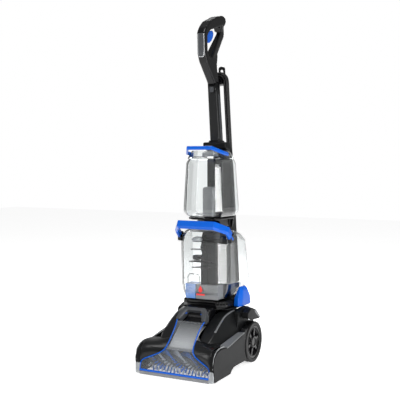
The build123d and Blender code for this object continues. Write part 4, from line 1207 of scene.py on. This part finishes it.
def make_cord():
    gland_y = rear_y(424) + 10
    start = [Vector((6, gland_y, 420)), Vector((6, gland_y, 440)), Vector((15, gland_y + 1.5, 459))]
    route = start + [Vector((23, gland_y - 0.43, 476.5))] + hank_points()
    route.append(Vector((-COLUMNS[0] - 3, 80.4, 482)))
    curve = bpy.data.curves.new("power_cord_run", "CURVE")
    curve.dimensions = "3D"
    curve.bevel_depth = CORD_D / 2 * MM
    curve.bevel_resolution = 4
    curve.resolution_u = 6
    curve.use_fill_caps = True
    spline = curve.splines.new("NURBS")
    spline.points.add(len(route) - 1)
    for point, spot in zip(spline.points, route):
        point.co = (*at(*spot), 1)
    spline.order_u = 3
    spline.use_endpoint_u = True
    cord = bpy.data.objects.new("power_cord_run", curve)
    bpy.context.scene.collection.objects.link(cord)
    curve.materials.append(vinyl)
    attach(cord, "upright")
    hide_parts("power_cord", "cord_hank")


make_cord()


# ---- carried-over nodes ----------------------------------------------------------------------------
CARRIED = {
    black: ["foot_base", "spray_bar", "pivot_yoke", "fan_impeller", "water_pump", "brush_pulley",
        "brush_core", "cord_hook_upper", "cord_hook_lower"],
    steel: ["pivot_pin", "wheel_axles", "foot_screws", "motor_pulley", "pedal_spring", "trigger_rod"],
    cast: ["brush_motor", "vacuum_motor"],
    rubber: ["drive_belt"],
    vinyl: ["strain_relief", "power_plug"],
}
for stuff, names in CARRIED.items():
    for name in names:
        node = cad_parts[name]
        node.data.materials.clear()
        node.data.materials.append(stuff)


# ---- floor and light -------------------------------------------------------------------------------
FLOOR_HALF = 6.0          # metres


def make_studio():
    floor_mesh = bpy.data.meshes.new("studio_floor")
    corners = [(a * FLOOR_HALF, b * FLOOR_HALF, 0) for a, b in ((-1, -1), (1, -1), (1, 1), (-1, 1))]
    floor_mesh.from_pydata(corners, [], [(0, 1, 2, 3)])
    floor = bpy.data.objects.new("studio_floor", floor_mesh)
    bpy.context.scene.collection.objects.link(floor)
    stuff, tree, place = new_finish("pale studio paper")
    mottle = add(tree, "ShaderNodeTexNoise", {"Scale": 3.0}, {"Vector": place})
    tone = add(tree, "ShaderNodeMapRange", {"To Min": 0.93, "To Max": 0.96}, {"Value": mottle.outputs["Fac"]})
    close_finish(tree, add(tree, "ShaderNodeBsdfPrincipled", {
        "Roughness": 0.9, "Specular IOR Level": 0.1, "Emission Color": (1, 1, 1, 1),
        "Emission Strength": 0.66,
    }, {"Base Color": tone.outputs["Result"]}))
    floor_mesh.materials.append(stuff)
    world = bpy.data.worlds.new("studio")
    world.use_nodes = True
    room = world.node_tree
    ray = add(room, "ShaderNodeLightPath")
    seen = add(room, "ShaderNodeMath", operation="MAXIMUM",
        links={0: ray.outputs["Is Camera Ray"], 1: ray.outputs["Is Transmission Ray"]})
    strength = add(room, "ShaderNodeMapRange", {"To Min": 0.3, "To Max": 1.0}, {"Value": seen.outputs[0]})
    room.nodes["Background"].inputs["Color"].default_value = (1, 1, 1, 1)
    room.links.new(strength.outputs["Result"], room.nodes["Background"].inputs["Strength"])
    bpy.context.scene.world = world
    bpy.context.scene.view_settings.view_transform = "Standard"
    # Two slim strips stand close on the right, where each tank's chamfer mirrors one of them.
    lights = [
        ("strip low", (0.947, -0.275, 0.17), 0.16, 0.34, 2.6),
        ("strip high", (0.893, -0.407, 0.54), 0.16, 0.36, 2.6),
        ("softbox right", (2.3, -1.15, 0.9), 0.5, 1.5, 16), ("softbox left", (-2.0, -1.2, 1.3), 0.8, 1.4, 20),
        ("overhead", (0.15, -1.0, 2.5), 1.3, 0.9, 30), ("rear rim", (-0.9, 2.1, 1.6), 0.7, 1.4, 20),
    ]
    for name, spot, wide, tall, power in lights:
        lamp = bpy.data.lights.new(name, "AREA")
        lamp.shape = "RECTANGLE"
        lamp.size = wide
        lamp.size_y = tall
        lamp.energy = power
        light = bpy.data.objects.new(name, lamp)
        light.location = spot
        aim = Vector((0, 0, 0.5 if spot[2] > 0.7 else spot[2]))
        light.rotation_euler = (aim - Vector(spot)).to_track_quat("-Z", "Y").to_euler()
        light.visible_camera = False
        bpy.context.scene.collection.objects.link(light)


make_studio()
